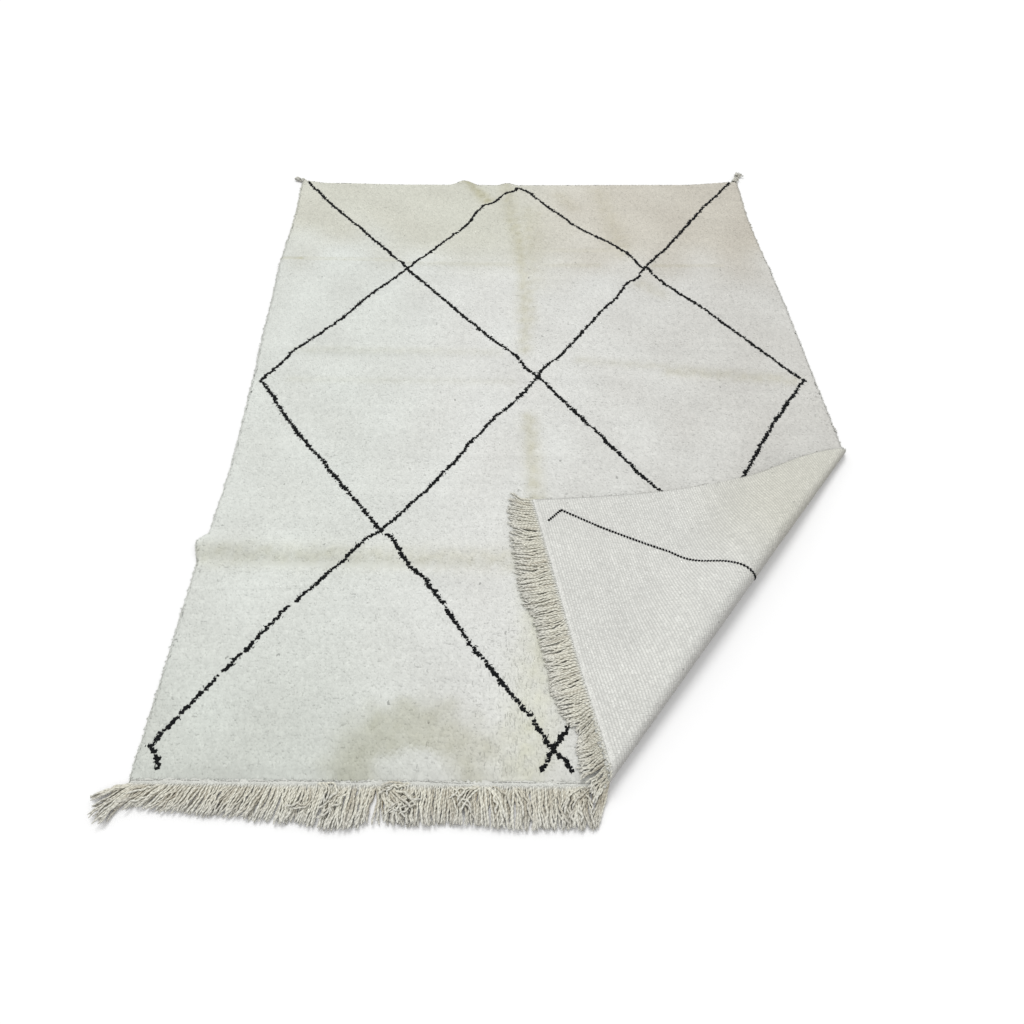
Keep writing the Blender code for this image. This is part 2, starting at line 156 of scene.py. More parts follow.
# The lattice's lines, knotted in dark wool, as corners in across and along
LATTICE = [np.array(line) / MM for line in (
    (
        (-826, 1138), (-735, 1004), (-519, 727), (-428, 609), (-394, 557), (-115, 202), (-36, 116),
        (-13, 71), (21, 32), (85, -66), (304, -387), (410, -540), (517, -711), (553, -755), (623, -822),
        (663, -864), (692, -914), (753, -1013), (812, -1097), (779, -1139),
    ),
    (
        (812, 1133), (665, 936), (493, 683), (409, 578), (377, 519), (348, 500), (328, 475), (300, 415),
        (235, 337), (102, 135), (48, 84), (21, 32), (-68, -98), (-110, -136), (-210, -290),
        (-272, -382), (-354, -482), (-402, -540), (-438, -564), (-472, -617), (-611, -773),
        (-662, -850), (-815, -1062), (-833, -1090), (-819, -1106), (-807, -1120), (-803, -1140),
    ),
    (
        (-9, 1098), (-32, 1064), (-57, 1050), (-103, 989), (-140, 975), (-169, 921), (-203, 838),
        (-298, 711), (-408, 566), (-531, 408), (-594, 305), (-726, 142), (-802, 13), (-750, -67),
        (-703, -148), (-520, -383), (-408, -529), (-375, -558), (-323, -641), (-281, -684),
        (-229, -760), (-172, -853), (-66, -990), (3, -1092), (40, -1136),
    ),
    (
        (-9, 1098), (40, 1054), (74, 1000), (180, 850), (221, 802), (311, 725), (362, 659), (399, 579),
        (419, 576), (443, 525), (512, 423), (570, 361), (602, 310), (704, 163), (805, 17), (670, -168),
        (620, -243), (552, -351), (410, -540), (200, -826), (45, -1030), (3, -1092), (-24, -1137),
    ),
)]

# Short breaks in the lines. Columns: across, along, radius
BREAKS = np.array((
    (-590, -748, 6), (-722, -926, 6), (-392, -542, 5), (436, 541, 5), (0, 1, 4),
)) / MM

# Fringe. Columns: place across, lean from straight out in degrees (positive to the right), length,
# bend along its length in degrees
FRONT_FRINGE = np.array((
    (-857, -68, 76, -4), (-850, -58, 80, -4), (-843, -44, 90, 2), (-834, -36, 94, 2),
    (-826, -48, 64, -8), (-785, -46, 64, -12), (-740, -34, 64, -14), (-640, -22, 67, -12),
    (-530, -14, 76, -10), (-500, -8, 76, 6), (-440, -6, 86, -8), (-385, -10, 86, -10),
    (-362, -16, 78, -4), (-345, 10, 72, 4), (-320, 4, 78, 6), (-200, 1, 76, -4), (-60, 0, 84, 4),
    (80, 1, 83, 2),
)) / STRAND
BEND_FRINGE = np.array(((80, -6, 80, 0), (105, -18, 80, 0), (132, -32, 76, 0))) / STRAND
FOLDED_FRINGE = np.array((
    (132, -40, 62, -20), (165, -12, 60, -10), (200, -8, 54, -14), (222, -22, 50, -36),
    (240, -40, 50, -56), (256, -14, 50, -24), (272, -2, 62, -10), (300, 0, 72, -12),
    (330, 2, 76, -14), (400, -6, 72, -10), (520, 2, 74, -6), (560, 4, 90, -4), (640, 12, 90, -4),
    (700, 20, 84, -2), (760, 26, 80, 0), (800, 30, 78, 2), (846, 42, 66, 4),
)) / STRAND

# Strands that curl over the others. Columns: place across, lean, length, bend, count, half spread,
# how far each strays from the lean in degrees
TANGLES = np.array((
    (-850, -66, 74, 4, 7, 6, 3), (-842, -46, 94, 4, 9, 8, 3), (-836, -38, 100, 4, 8, 8, 3),
    (-800, -52, 74, -20, 6, 30, 7), (-500, -30, 74, -120, 5, 16, 9), (-470, 20, 60, -150, 4, 14, 9),
    (-400, -44, 86, -20, 6, 14, 9), (-348, 54, 86, -24, 6, 12, 9), (-335, 36, 70, 90, 4, 16, 9),
    (-278, -36, 76, -50, 6, 16, 9), (-290, -60, 60, 60, 4, 14, 9), (-205, 38, 78, -24, 3, 12, 9),
    (-150, -40, 70, 60, 5, 12, 9), (-140, 30, 74, -60, 4, 12, 9), (-84, 22, 74, -90, 3, 8, 9),
    (0, 12, 80, 60, 4, 20, 9), (45, 12, 78, -60, 8, 22, 6), (70, -36, 86, 80, 6, 18, 9),
)) / (MM, 1, MM, 1, 1, MM, 1)
STRAND_PITCH = 0.0080
STRAND_RADIUS = 0.0022
STRAND_POINTS = 16           # along a strand
SHARES = np.linspace(0.0, 1.0, STRAND_POINTS)    # how far along a strand its points are
YARN_SIDES = 5
PLY_LENGTH = 0.009           # of yarn, in which its plies turn once
COIL_LENGTH = 0.009          # of a tassel, that one of its windings takes up
ROOT_PLACE = WEAVE_END + 0.004
ROOT_SHARE = 0.12            # share of a strand in which the band's colour goes over into the yarn's
DROP = 0.6                   # share of a strand's length within which it comes down to rest
TIP_LIFT = 0.007

# Layers of the fringe, from the floor up. Columns: layer, pitch, height in radii, unevenness in
# degrees, age of the wool, higher in the lower layers as painted shade under the strands above
FRINGE_LAYERS = (
    (1, 0.0054, 1.0, 4.0, 0.50),
    (2, 0.0058, 2.2, 3.0, 0.35),
    (3, 0.0064, 3.4, 3.5, 0.10),
)

# How the strands on the floor and those on the pile lie in groups. Columns: seed, sway and curl of
# the groups in degrees, share of a layer's unevenness in the lean and in the bend, shortest, longest
FRONT_HABIT = (61, 3.5, 20.0, 1.0, 2.0, 0.94, 1.04)
FOLDED_HABIT = (71, 8.0, 30.0, 0.6, 1.0, 0.88, 1.05)

# Tassels: name, corner across, corner along and direction in degrees from +X, then two tables.
# Columns of the first, yarn ends: count, where they start along it, turn off it in degrees, length
# Columns of the second, windings of yarn round it: place along it, half width, turns
TASSELS = (
    (
        "tassel_far_left", -0.838, 1.154, 153.0,
        ((4, 0.0, 0.0, 0.050),),
        (
            (0.008, 0.0058, 2.2), (0.015, 0.0074, 2.6), (0.036, 0.0058, 2.6), (0.042, 0.0068, 2.8),
            (0.047, 0.0052, 2.2),
        ),
    ),
    (
        "tassel_far_right", 0.836, 1.150, 68.0,
        ((6, 0.0, 0.0, 0.084), (4, 0.050, -58.0, 0.028)),
        (
            (0.000, 0.0096, 2.0), (0.009, 0.0080, 2.0), (0.018, 0.0062, 2.0), (0.027, 0.0055, 2.0),
            (0.036, 0.0048, 2.0), (0.052, 0.0070, 2.6), (0.060, 0.0066, 2.4),
        ),
    ),
)

# Mesh sizes
BASE_STEP = 0.021
BEND_STEP = 0.006
SNAP = 0.0008
CLEAR_OF_FLOOR = 0.0001
PILE_BED = 0.86              # height of the cloth's surface between the tufts, as a share of the pile

# Shades
# BED_SHADE is painted shade on the cloth's surface between the tufts
BED_SHADE = 0.98
SEAM_SHADE = 0.55            # how dark the flat-woven band is painted where the pile's last row meets it: painted shade under the pile's edge
BACK_GROOVE_SHADE = 0.76           # how dark the back is painted between its knots, as painted shade in the grooves
TONE_DRIFT = 0.012           # how much the wool's tone drifts from place to place
DRIFT_WAVES = 9              # waves that add up to a drift

# Colours, sRGB, and tints that multiply the wool's colour
CREAM = (0.791, 0.794, 0.779)
SOILED = (0.952, 0.946, 0.915)
WARMED = (0.981, 0.979, 0.934)
STAINED = (0.895, 0.890, 0.850)
LEFT_SIDE = (0.985, 0.995, 0.988)
NEAR_SIDE = (0.950, 0.953, 0.946)
AGED = (0.953, 0.951, 0.914)
AGED_RIGHT = (0.969, 0.951, 0.918)
RIGHT_SIDE = (0.938, 0.930, 0.924)
BEND_SHADE = (0.800, 0.790, 0.790)
DARK = (0.075, 0.080, 0.086)
BACK = (0.830, 0.831, 0.812)
BAND = (0.785, 0.788, 0.765)
YARN = (0.815, 0.806, 0.755)
YARN_OLD = (0.620, 0.585, 0.515)
YARN_TIP = (0.790, 0.788, 0.765)
# A greyer, darker tint for the tassels, as painted shade
TASSEL_SHADE_TINT = (0.945, 0.950, 0.960)

# Camera: a standing photographer's, above the fringed end
CAMERA_PLACE = (-0.1506, -1.6164, 1.5112)
CAMERA_PITCH = 52.77
CAMERA_YAW = -0.762
CAMERA_ROLL = -0.351
CAMERA_LENS = 25.77
CAMERA_SHIFT = 0.0371

# Light
SKY_STRENGTH = 0.88
SUN_DIRECTION = (-0.30, 0.92, 1.80)
SUN_STRENGTH = 1.50
SUN_ANGLE = 26.0             # how wide the sun looks, in degrees
FLOOR_SIZE = 80.0            # so large that its edge looks like a level horizon
FLOOR_TONE = 0.80


# ---- Where the cloth lies


def ease(t):
    """0 below 0, 1 above 1, and a smooth rise between."""
    t = np.clip(t, 0.0, 1.0)
    return t * t * (3 - 2 * t)


def between_rows(table, place):
    """The value columns of a table at places between its rows, easing from one row to the next."""
    keys, *columns = np.array(table).T
    place = np.asarray(place, float)
    i = np.clip(np.searchsorted(keys, place) - 1, 0, len(keys) - 2)
    t = ease((place - keys[i]) / (keys[i + 1] - keys[i]))
    return [column[i] + (column[i + 1] - column[i]) * t for column in columns]


def side_edges(along):
    """The left and the right edge's place across, at places along the cloth."""
    return between_rows(LEFT_EDGE, along)[0], between_rows(RIGHT_EDGE, along)[0]


def fold_coordinates(across, along):
    """How far points lie past the fold's outer line, and how far along that line."""
    x, y = across - FOLD_RIGHT[0], along - FOLD_RIGHT[1]
    return x * FOLD_OUT[0] + y * FOLD_OUT[1], x * FOLD_ALONG[0] + y * FOLD_ALONG[1]


def from_fold(out, side):
    """Across and along of points that lie out from the fold's outer line and along it."""
    return [FOLD_RIGHT[k] + FOLD_ALONG[k] * side + FOLD_OUT[k] * out for k in (0, 1)]


def bend_radius(side):
    """Radius of the bend at places along the fold."""
    return between_rows(BEND_RADII, np.clip(side / FOLD_SPAN, 0.0, 1.0))[0]


def near_line(across, along, x0, y0, x1, y1):
    """Distance of points from a stretch of line, and how far along the stretch they are, as a share."""
    line = np.array((x1 - x0, y1 - y0))
    share = np.clip(((across - x0) * line[0] + (along - y0) * line[1]) / (line @ line), 0.0, 1.0)
    return np.hypot(across - x0 - share * line[0], along - y0 - share * line[1]), share


def hump(distance, half_width):
    """1 on a line, and a smooth fall to 0 at its half width."""
    return np.cos(np.pi / 2 * np.minimum(distance / half_width, 1.0)) ** 2


def ripple_height(across, along):
    """How far the cloth stands off the floor where it isn't folded."""
    height = np.zeros(np.broadcast(across, along).shape)
    for *line, half_width, start, end in RIPPLES:
        distance, share = near_line(across, along, *line)
        height += (start + (end - start) * share) * hump(distance, half_width)
    return height


def lie(across, along, up):
    """Where points of the flat cloth lie: on the floor, in the bend, or on the folded corner."""
    across, along, up = (np.asarray(a, float) for a in np.broadcast_arrays(across, along, up))
    beyond, side = fold_coordinates(across, along)
    radius = bend_radius(side)
    bend_start = -(radius + THICKNESS / 2)
    past = beyond - bend_start
    from_middle = up - THICKNESS / 2
    angle = np.clip(past / radius, 0.0, np.pi)
    run = np.maximum(past - np.pi * radius, 0.0)
    fall = (2 * radius - THICKNESS - LAYER_GAP) * ease(run / SETTLE_LENGTH)
    out = bend_start + (radius - from_middle) * np.sin(angle) - run
    height = THICKNESS / 2 + radius - (radius - from_middle) * np.cos(angle) - fall
    down_edge = np.clip((FOLD_RIGHT[1] - along) / (FOLD_RIGHT[1] - NEAR_END), 0.0, 1.0)
    pull = EDGE_PULL * np.sin(np.pi * down_edge) * ease(run / PULL_REACH)
    x, y = from_fold(out, side)
    folded = np.stack((x, y - pull, height), -1)
    flat = np.stack((across, along, up + ripple_height(across, along)), -1)
    return np.where((past <= 0)[..., None], flat, folded)


def cut_points(across, along):
    """Points of the plain rectangle, moved to where the uneven edges put them."""
    left, right = side_edges(along)
    across = left + (right - left) * (across + WIDTH / 2) / WIDTH
    far = between_rows(FAR_EDGE, across)[0]
    return across, along + (far + NEAR_END) * ease((along - NEAR_END) / LENGTH)


def from_edges(across, along):
    """Distance of points of the flat cloth from its nearest side or far edge."""
    left, right = side_edges(along)
    return np.minimum(np.minimum(across - left, right - across), between_rows(FAR_EDGE, across)[0] - along)


def pile_height(across, along):
    """Height of the pile's tips over the cloth's back."""
    height = RIM_HEIGHT + (THICKNESS - RIM_HEIGHT) * ease(from_edges(across, along) / RIM)
    for *line, half_width, depth in CREASES:
        height = height - depth * hump(near_line(across, along, *line)[0], half_width)
    from_end = (along - PILE_END) / END_RIM
    return np.where(from_end < 0, GROUND, END_HEIGHT + (height - END_HEIGHT) * ease(from_end))


def pile_edge(across):
    """Where the pile stops: a slightly wavy line between it and the flat-woven band."""
    return PILE_END + 0.0012 * drift(across, 0, 45, 0.12, 1.0)


def covered(across, along):
    """True where the pile is out of sight: well under the folded corner, or on its lower side."""
    beyond, side = fold_coordinates(across, along)
    radius = bend_radius(side)
    lower = beyond < -(radius + THICKNESS / 2)
    above = np.where(lower, (np.pi - 2) * radius - THICKNESS - beyond, beyond)
    x, y = from_fold(above, side)
    inside = (x < between_rows(RIGHT_EDGE, y)[0] - COVER_MARGIN) & (y > NEAR_END + COVER_MARGIN)
    return inside & (above > 0) & (side < FOLD_SPAN - MOUTH_MARGIN)


def back_shows(spots):
    """True for the spots whose back shows: those on the folded corner and round most of the bend."""
    beyond, side = fold_coordinates(*spots.T)
    return beyond > -BEND_SHOWN * bend_radius(side)


# ---- Colours


def linear(rgb):
    """A colour in linear light."""
    rgb = np.asarray(rgb, float)
    return np.where(rgb <= 0.04045, rgb / 12.92, ((rgb + 0.055) / 1.055) ** 2.4)


def drift(across, along, seed, size_across, size_along):
    """A smooth, irregular field of waves, between about -1 and 1."""
    dice = np.random.default_rng(seed)
    total = np.zeros(np.broadcast(across, along).shape)
    for _ in range(DRIFT_WAVES):
        turn, phase, pitch = dice.uniform(0, math.tau), dice.uniform(0, math.tau), dice.uniform(0.7, 1.6)
        wave = across / size_across * math.cos(turn) + along / size_along * math.sin(turn)
        total += np.sin(math.tau * pitch * wave + phase)
    return total / math.sqrt(DRIFT_WAVES)


def tinted(base, tint, amount):
    """A colour or colours multiplied by a tint to an amount."""
    return base * (1 + (linear(tint) - 1) * np.asarray(amount)[..., None])


def streaked(across, along, table):
    """How far points lie in the streaks of a table."""
    amount = np.zeros(np.broadcast(across, along).shape)
    for *line, half_width, strength in table:
        distance, _ = near_line(across, along, *line)
        amount = np.maximum(amount, strength * np.exp(-(distance / half_width) ** 2))
    return amount


def wool_color(across, along):
    """Colour of the cream wool on the pile's side, with its age, soiled creases partly darkened as painted
    shade, and stain.
    """
    patches = drift(across, along, 3, 0.30, 0.22)
    edge = between_rows(WARM_EDGE, across)[0]
    aged = ease((along - edge) / WARM_FADE + 0.5 + 0.12 * patches)
    right = ease((across + 0.15) / 0.45)
    left = ease((-0.10 - across) / 0.45) * (1 - aged)
    color = linear(CREAM)
    for tint, amount in (
        (LEFT_SIDE, left), (NEAR_SIDE, left * ease((-0.72 - along) / 0.40)),
        (AGED, aged * (1 - right)), (AGED_RIGHT, aged * right),
        (RIGHT_SIDE, ease((across + 0.18) / 1.02) + 0.15 * patches),
    ):
        color = tinted(color, tint, amount)
    mottle = 0.90 + 0.22 * drift(across, along, 5, 0.035, 0.050)
    # The creases' tint is partly soiling and partly painted shade
    for table, tint, strength in ((SOILED_AND_SHADED_CREASES, SOILED, 1.5), (YELLOWED, WARMED, 1.0)):
        color = tinted(color, tint, strength * streaked(across, along, table) * mottle)
    stained = np.zeros(patches.shape)
    rough = drift(across, along, 6, 0.08, 0.08)
    for x, y, radius_across, radius_along, amount in STAINS:
        distance = np.hypot((across - x) / radius_across, (along - y) / radius_along)
        stained += amount * ease((1.30 - distance + 0.07 * rough) / 0.60)
    color = tinted(color, STAINED, np.clip(stained * (0.7 + 0.3 * mottle), 0.0, 1.3))
    bands = TONE_DRIFT * (drift(across, along, 7, 0.9, 0.05) + drift(across, along, 8, 0.25, 0.22))
    return color * (1 + bands)[..., None]


def back_color(across, along):
    """Colour of the woven back, warmer at the fold's right end, with painted shade over the lower part of
    the bend.
    """
    warm = ease(1.4 - np.hypot((across - 0.70) / 0.30, (along + 0.42) / 0.30))
    color = tinted(linear(BACK), SOILED, 0.8 * warm)
    beyond, side = fold_coordinates(across, along)
    below = math.pi / 2 - 1 - (beyond + THICKNESS / 2) / bend_radius(side)
    # Painted shade over the lower part of the bend, fading out under the lying cloth
    color = tinted(color, BEND_SHADE, ease((below + 1.3) / 1.5) * ease(2.6 - below))
    bands = TONE_DRIFT * (drift(across, along, 13, 0.9, 0.04) + drift(across, along, 14, 0.2, 0.2))
    return color * (1 + bands)[..., None]


def band_color(across, along):
    """Colour of the flat-woven band at the fringed end."""
    return linear(BAND) * (1 + 0.05 * drift(across, along, 17, 0.03, 0.03))[..., None]


def speckled(color, count, dice, spread):
    """A colour, or one for each tuft, that differs a little from tuft to tuft."""
    return color * (1 + dice.normal(0, spread, (count, 1)))


# ---- Materials


def put(socket, value):
    """Feeds a socket from another node's output, or sets its value."""
    if isinstance(value, bpy.types.NodeSocket):
        socket.id_data.links.new(value, socket)
    else:
        socket.default_value = value


def add_node(tree, kind, *feeds, **values):
    """The outputs of a node whose first sockets are fed in order, and the rest set by name."""
    node = tree.nodes.new("ShaderNode" + kind)
    for socket, feed in zip(node.inputs, feeds):
        put(socket, feed)
    for name, value in values.items():
        if name in node.inputs:
            put(node.inputs[name], value)
        else:
            setattr(node, name, value)
    return node.outputs


def new_material(name, **settings):
    """A material and its shader's sockets, some of them set by name, with _ for a space."""
    made = bpy.data.materials.new(name)
    made.use_nodes = True
    shader = made.node_tree.nodes["Principled BSDF"].inputs
    for socket, value in settings.items():
        put(shader[socket.replace("_", " ")], value)
    return made, shader


def wool_material(name, sheen, grain, bump, pattern=None):
    """Matt wool whose colour comes from the mesh, with fine fibres and small clumps.

    grain is the scale of the fibre noise, and bump its height in metres. pattern adds the relief
    and the shades of a weave or of plies to the wool's normal and colour.
    """
    made, shader = new_material(name, Roughness=0.95, Sheen_Weight=sheen, Specular_IOR_Level=0.10)
    tree = made.node_tree
    place = add_node(tree, "TexCoord")["Object"]
    fibres = add_node(tree, "TexNoise", place, Scale=grain, Detail=4.0, Roughness=0.65)["Fac"]
    clumps = add_node(tree, "TexNoise", place, Scale=60.0, Detail=2.0, Roughness=0.55)["Fac"]
    both = add_node(tree, "Math", fibres, clumps, operation="ADD")[0]
    color = add_node(tree, "VertexColor", layer_name="tone")["Color"]
    color = shaded(tree, color, both, 0.75, 1.25, 0.95, 1.04)
    normal = add_node(tree, "Bump", Strength=0.6, Distance=bump, Height=fibres)["Normal"]
    if pattern:
        color, normal = pattern(tree, color, normal)
    put(shader["Base Color"], color)
    put(shader["Normal"], normal)
    return made


def shaded(tree, color, value, low, high, dark, light):
    """A colour multiplied by dark to light as a value goes from low to high."""
    shade = add_node(tree, "MapRange", value, low, high, dark, light)["Result"]
    return add_node(tree, "VectorMath", color, operation="SCALE", Scale=shade)["Vector"]


def rows_of_knots(tree, color, normal):
    """The woven back's rows of knots, in the cloth's own coordinates."""
    cloth = add_node(tree, "UVMap", uv_map="cloth")["UV"]
    parts = add_node(tree, "SeparateXYZ", cloth)
    waves = []
    for axis, pitch in (("Y", ROW), ("X", KNOT / 2)):
        turn = add_node(tree, "Math", parts[axis], math.tau / pitch, operation="MULTIPLY")[0]
        waves.append(add_node(tree, "Math", turn, operation="SINE")[0])
    height = add_node(tree, "Math", *waves, operation="ADD")[0]
    ribs = add_node(tree, "Bump", Strength=0.5, Distance=0.0008, Height=height, Normal=normal)
    return color, ribs["Normal"]


def plies(tree, color, normal):
    """Slanting grooves of plied yarn, whose chart has the turn across and the length up."""
    ply = add_node(tree, "UVMap", uv_map="ply")["UV"]
    parts = add_node(tree, "SeparateXYZ", ply)
    slant = add_node(tree, "Math", parts["X"], parts["Y"], operation="ADD")[0]
    wave = add_node(tree, "Math", slant, operation="SINE")[0]
    grooves = add_node(tree, "Bump", Strength=0.7, Distance=0.0006, Height=wave, Normal=normal)
    # The plies' grooves are painted darker and their ridges lighter, as painted shade and highlight
    return shaded(tree, color, wave, -1.0, 1.0, 0.84, 1.06), grooves["Normal"]


# ---- Meshes


def pairs(across, along):
    """Spots of the flat cloth, one a row, from their places across and along."""
    return np.stack((across, along), -1).reshape(-1, 2)


def paint(data, tones):
    """Linear colours on a mesh's points."""
    layer = data.color_attributes.new("tone", "FLOAT_COLOR", "POINT")
    rgba = np.ones((len(tones), 4), np.float32)
    rgba[:, :3] = tones
    layer.data.foreach_set("color", rgba.ravel())


def chart(data, name, spots, fill=True):
    """A map of a mesh's face corners, which fills the unit square or keeps its own size."""
    if fill:
        low = spots.min(axis=0)
        spots = (spots - low) / (spots.max(axis=0) - low)
    layer = data.uv_layers.new(name=name)
    layer.uv.foreach_set("vector", spots.astype(np.float32).ravel())


def add_object(data):
    """Puts a mesh, light or camera into the scene under its own name."""
    made = bpy.data.objects.new(data.name, data)
    bpy.context.scene.collection.objects.link(made)
    return made


def finished(name, mesh, *finishes):
    """A mesh with its finishes, from one that is still being edited."""
    data = bpy.data.meshes.new(name)
    mesh.to_mesh(data)
    mesh.free()
    for finish in finishes:
        data.materials.append(finish)
    return data


def array_mesh(name, points, triangles, flat, tones, finish):
    """A mesh from arrays of points, triangles, map coordinates and colours."""
    data = bpy.data.meshes.new(name)
    data.vertices.add(len(points))
    data.vertices.foreach_set("co", points.astype(np.float32).ravel())
    data.loops.add(triangles.size)
    data.loops.foreach_set("vertex_index", triangles.astype(np.int32).ravel())
    data.polygons.add(len(triangles))
    data.polygons.foreach_set("loop_start", np.arange(0, triangles.size, 3, dtype=np.int32))
    data.update(calc_edges=True)
    data.shade_smooth()
    paint(data, tones)
    chart(data, "OFBake", flat[triangles.ravel()])
    data.materials.append(finish)
    return data


def skin(rows, columns, closed=False):
    """Triangles over a grid of points, whose columns go round where it is closed."""
    faces = []
    for i in range(rows - 1):
        for j in range(columns if closed else columns - 1):
            a, b = i * columns + j, i * columns + (j + 1) % columns
            faces += [(a, b, a + columns), (b, b + columns, a + columns)]
    return np.array(faces)


def repeated(faces, count, size):
    """The faces of one shape of size points, for count such shapes in a row."""
    return (faces + np.arange(count)[:, None, None] * size).reshape(-1, 3)


def base_grid():
    """The flat cloth as one layer of faces, with extra lines across the bend."""
    mesh = bmesh.new()
    columns = np.linspace(-WIDTH / 2, WIDTH / 2, round(WIDTH / BASE_STEP) + 1)
    band = [WEAVE_END, (WEAVE_END + PILE_END) / 2, PILE_END]
    band += [PILE_END + END_RIM / 3, PILE_END + END_RIM * 2 / 3]
    inner = np.linspace(PILE_END + END_RIM, -NEAR_END, round(LENGTH / BASE_STEP) + 1)
    across, along = cut_points(*np.meshgrid(columns, np.concatenate((band, inner))))
    lines = [[mesh.verts.new((x, y, 0.0)) for x, y in zip(*line)] for line in zip(across, along)]
    for low, high in zip(lines, lines[1:]):
        for corners in zip(low, low[1:], high[1:], high):
            mesh.faces.new(corners)
    widest = max(radius for _, radius in BEND_RADII)
    for distance in np.arange(-(widest + THICKNESS / 2), math.pi * widest, BEND_STEP):
        geometry = mesh.verts[:] + mesh.edges[:] + mesh.faces[:]
        spot = (*(FOLD_RIGHT + FOLD_OUT * distance), 0.0)
        bmesh.ops.bisect_plane(mesh, geom=geometry, dist=SNAP, plane_co=spot, plane_no=(*FOLD_OUT, 0.0))
    bmesh.ops.triangulate(mesh, faces=mesh.faces[:])
    return mesh


def two_layers(mesh):
    """Gives a layer of faces an upper layer, marked by a height of 1, and a rim between them."""
    lower = mesh.faces[:]
    made = bmesh.ops.extrude_face_region(mesh, geom=lower, use_keep_orig=True)["geom"]
    bmesh.ops.reverse_faces(mesh, faces=lower)
    for face in lower:
        face.material_index = 1
    for vert in (part for part in made if isinstance(part, bmesh.types.BMVert)):
        vert.co.z = 1.0
    bmesh.ops.recalc_face_normals(mesh, faces=mesh.faces[:])


def base_cloth(top_finish, back_finish):
    """The cloth under the tufts: the bed of the pile, the woven ground and the woven back."""
    mesh = base_grid()
    two_layers(mesh)
    data = finished("rug_cloth", mesh, top_finish, back_finish)
    places = np.empty(len(data.vertices) * 3, np.float32)
    data.vertices.foreach_get("co", places)
    across, along, layer = places.reshape(-1, 3).astype(float).T
    upper = layer > 0.5
    bed = GROUND + (pile_height(across, along) - GROUND) * PILE_BED
    points = lie(across, along, np.where(upper, bed, 0.0))
    data.vertices.foreach_set("co", points.astype(np.float32).ravel())
    data.update()
    data.shade_smooth()
    # The back is painted darker between its knots, as painted shade
    tones = back_color(across, along) * BACK_GROOVE_SHADE
    tones = np.where(upper[:, None], wool_color(across, along) * BED_SHADE, tones)
    on_band = upper & (along < PILE_END)
    paint(data, np.where(on_band[:, None], band_color(across, along), tones))
    corners = np.empty(len(data.loops), np.int32)
    data.loops.foreach_get("vertex_index", corners)
    chart(data, "OFBake", pairs(across + np.where(upper, 0.0, 1.1 * WIDTH), along)[corners])
    chart(data, "cloth", pairs(across, along)[corners], fill=False)
    return add_object(data)


# ---- Tufts and knots

# A yarn end of the pile with a ridge on top, a low knot of the back with a peak, and a full dark
# knot with a flat top. Each is a table of points and one of faces.
# Columns: share of the width, of the length, of the height
FOOT = ((-0.5, -0.5, 0.0), (0.5, -0.5, 0.0), (0.5, 0.5, 0.0), (-0.5, 0.5, 0.0))
TUFT = (
    (*FOOT, (0.0, -0.24, 1.0), (0.0, 0.20, 1.0)),
    ((0, 1, 4), (1, 2, 5), (1, 5, 4), (2, 3, 5), (3, 0, 4), (3, 4, 5)),
)
KNOB = ((*FOOT, (0.0, 0.0, 1.0)), ((0, 1, 4), (1, 2, 4), (2, 3, 4), (3, 0, 4)))
LOAF = (
    (*FOOT, (-0.40, -0.32, 0.9), (0.36, -0.36, 1.0), (0.40, 0.32, 0.9), (-0.36, 0.36, 1.0)),
    (
        (0, 1, 5), (0, 5, 4), (1, 2, 6), (1, 6, 5), (2, 3, 7), (2, 7, 6), (3, 0, 4), (3, 4, 7),
        (4, 5, 6), (4, 6, 7),
    ),
)


def bumps(
    name, spots, size, low, high, tones, finish, turn=0.0, lean=0.0, form=TUFT, foot_shade=0.90, bed=None
):
    """Tufts or knots at spots of the flat cloth, joined into one mesh.

    size is their width and length, low and high the heights of foot and top, lean how far the top
    is shifted along, and foot_shade how dark the foot is painted, as painted shade, with the top
    painted a little lighter as a painted highlight. A top below its foot stands out of the back.
    bed is a surface, as a function of the place, that each of them is tilted to.
    """
    shape, faces = (np.array(table) for table in form)
    count = len(spots)
    width, length, low, high, turn, lean = (
        np.broadcast_to(np.asarray(v, float), count)[:, None] for v in (*size, low, high, turn, lean)
    )
    x = shape[:, 0] * width
    y = shape[:, 1] * length + shape[:, 2] * lean
    across = spots[:, :1] + x * np.cos(turn) - y * np.sin(turn)
    along = spots[:, 1:] + x * np.sin(turn) + y * np.cos(turn)
    up = low + shape[:, 2] * (high - low)
    if bed:
        up = up + bed(across, along) - bed(*spots.T)[:, None]
    points = lie(across, along, up).reshape(-1, 3)
    points[:, 2] = np.maximum(points[:, 2], CLEAR_OF_FLOOR)
    if np.median(high - low) < 0:
        faces = faces[:, ::-1]
    # Painted shade at each bump's foot, and a painted highlight at its top
    depth = foot_shade + (1.02 - foot_shade) * shape[:, 2]
    colors = (tones[:, None, :] * depth[:, None]).reshape(-1, 3)
    triangles = repeated(faces, count, len(shape))
    return add_object(array_mesh(name, points, triangles, pairs(across, along), colors, finish))


def lattice_spots():
    """Spots of the dark knots along the lattice's lines, a little stepped from row to row."""
    dice = np.random.default_rng(21)
    spots = []
    for corners in LATTICE:
        wobble = 0.0
        for (x0, y0), (x1, y1) in zip(corners, corners[1:]):
            count = max(round(math.hypot(x1 - x0, y1 - y0) / LINE_STEP), 1)
            for share in np.arange(count) / count:
                wobble = 0.80 * wobble + dice.normal(0, 0.0011)
                x = x0 + (x1 - x0) * share + wobble
                y = y0 + (y1 - y0) * share
                if all(math.hypot(x - bx, y - by) > radius for bx, by, radius in BREAKS):
                    row = NEAR_END + round((y - NEAR_END) / ROW) * ROW
                    spots.append((x, 0.3 * y + 0.7 * row))
    return np.array(spots)


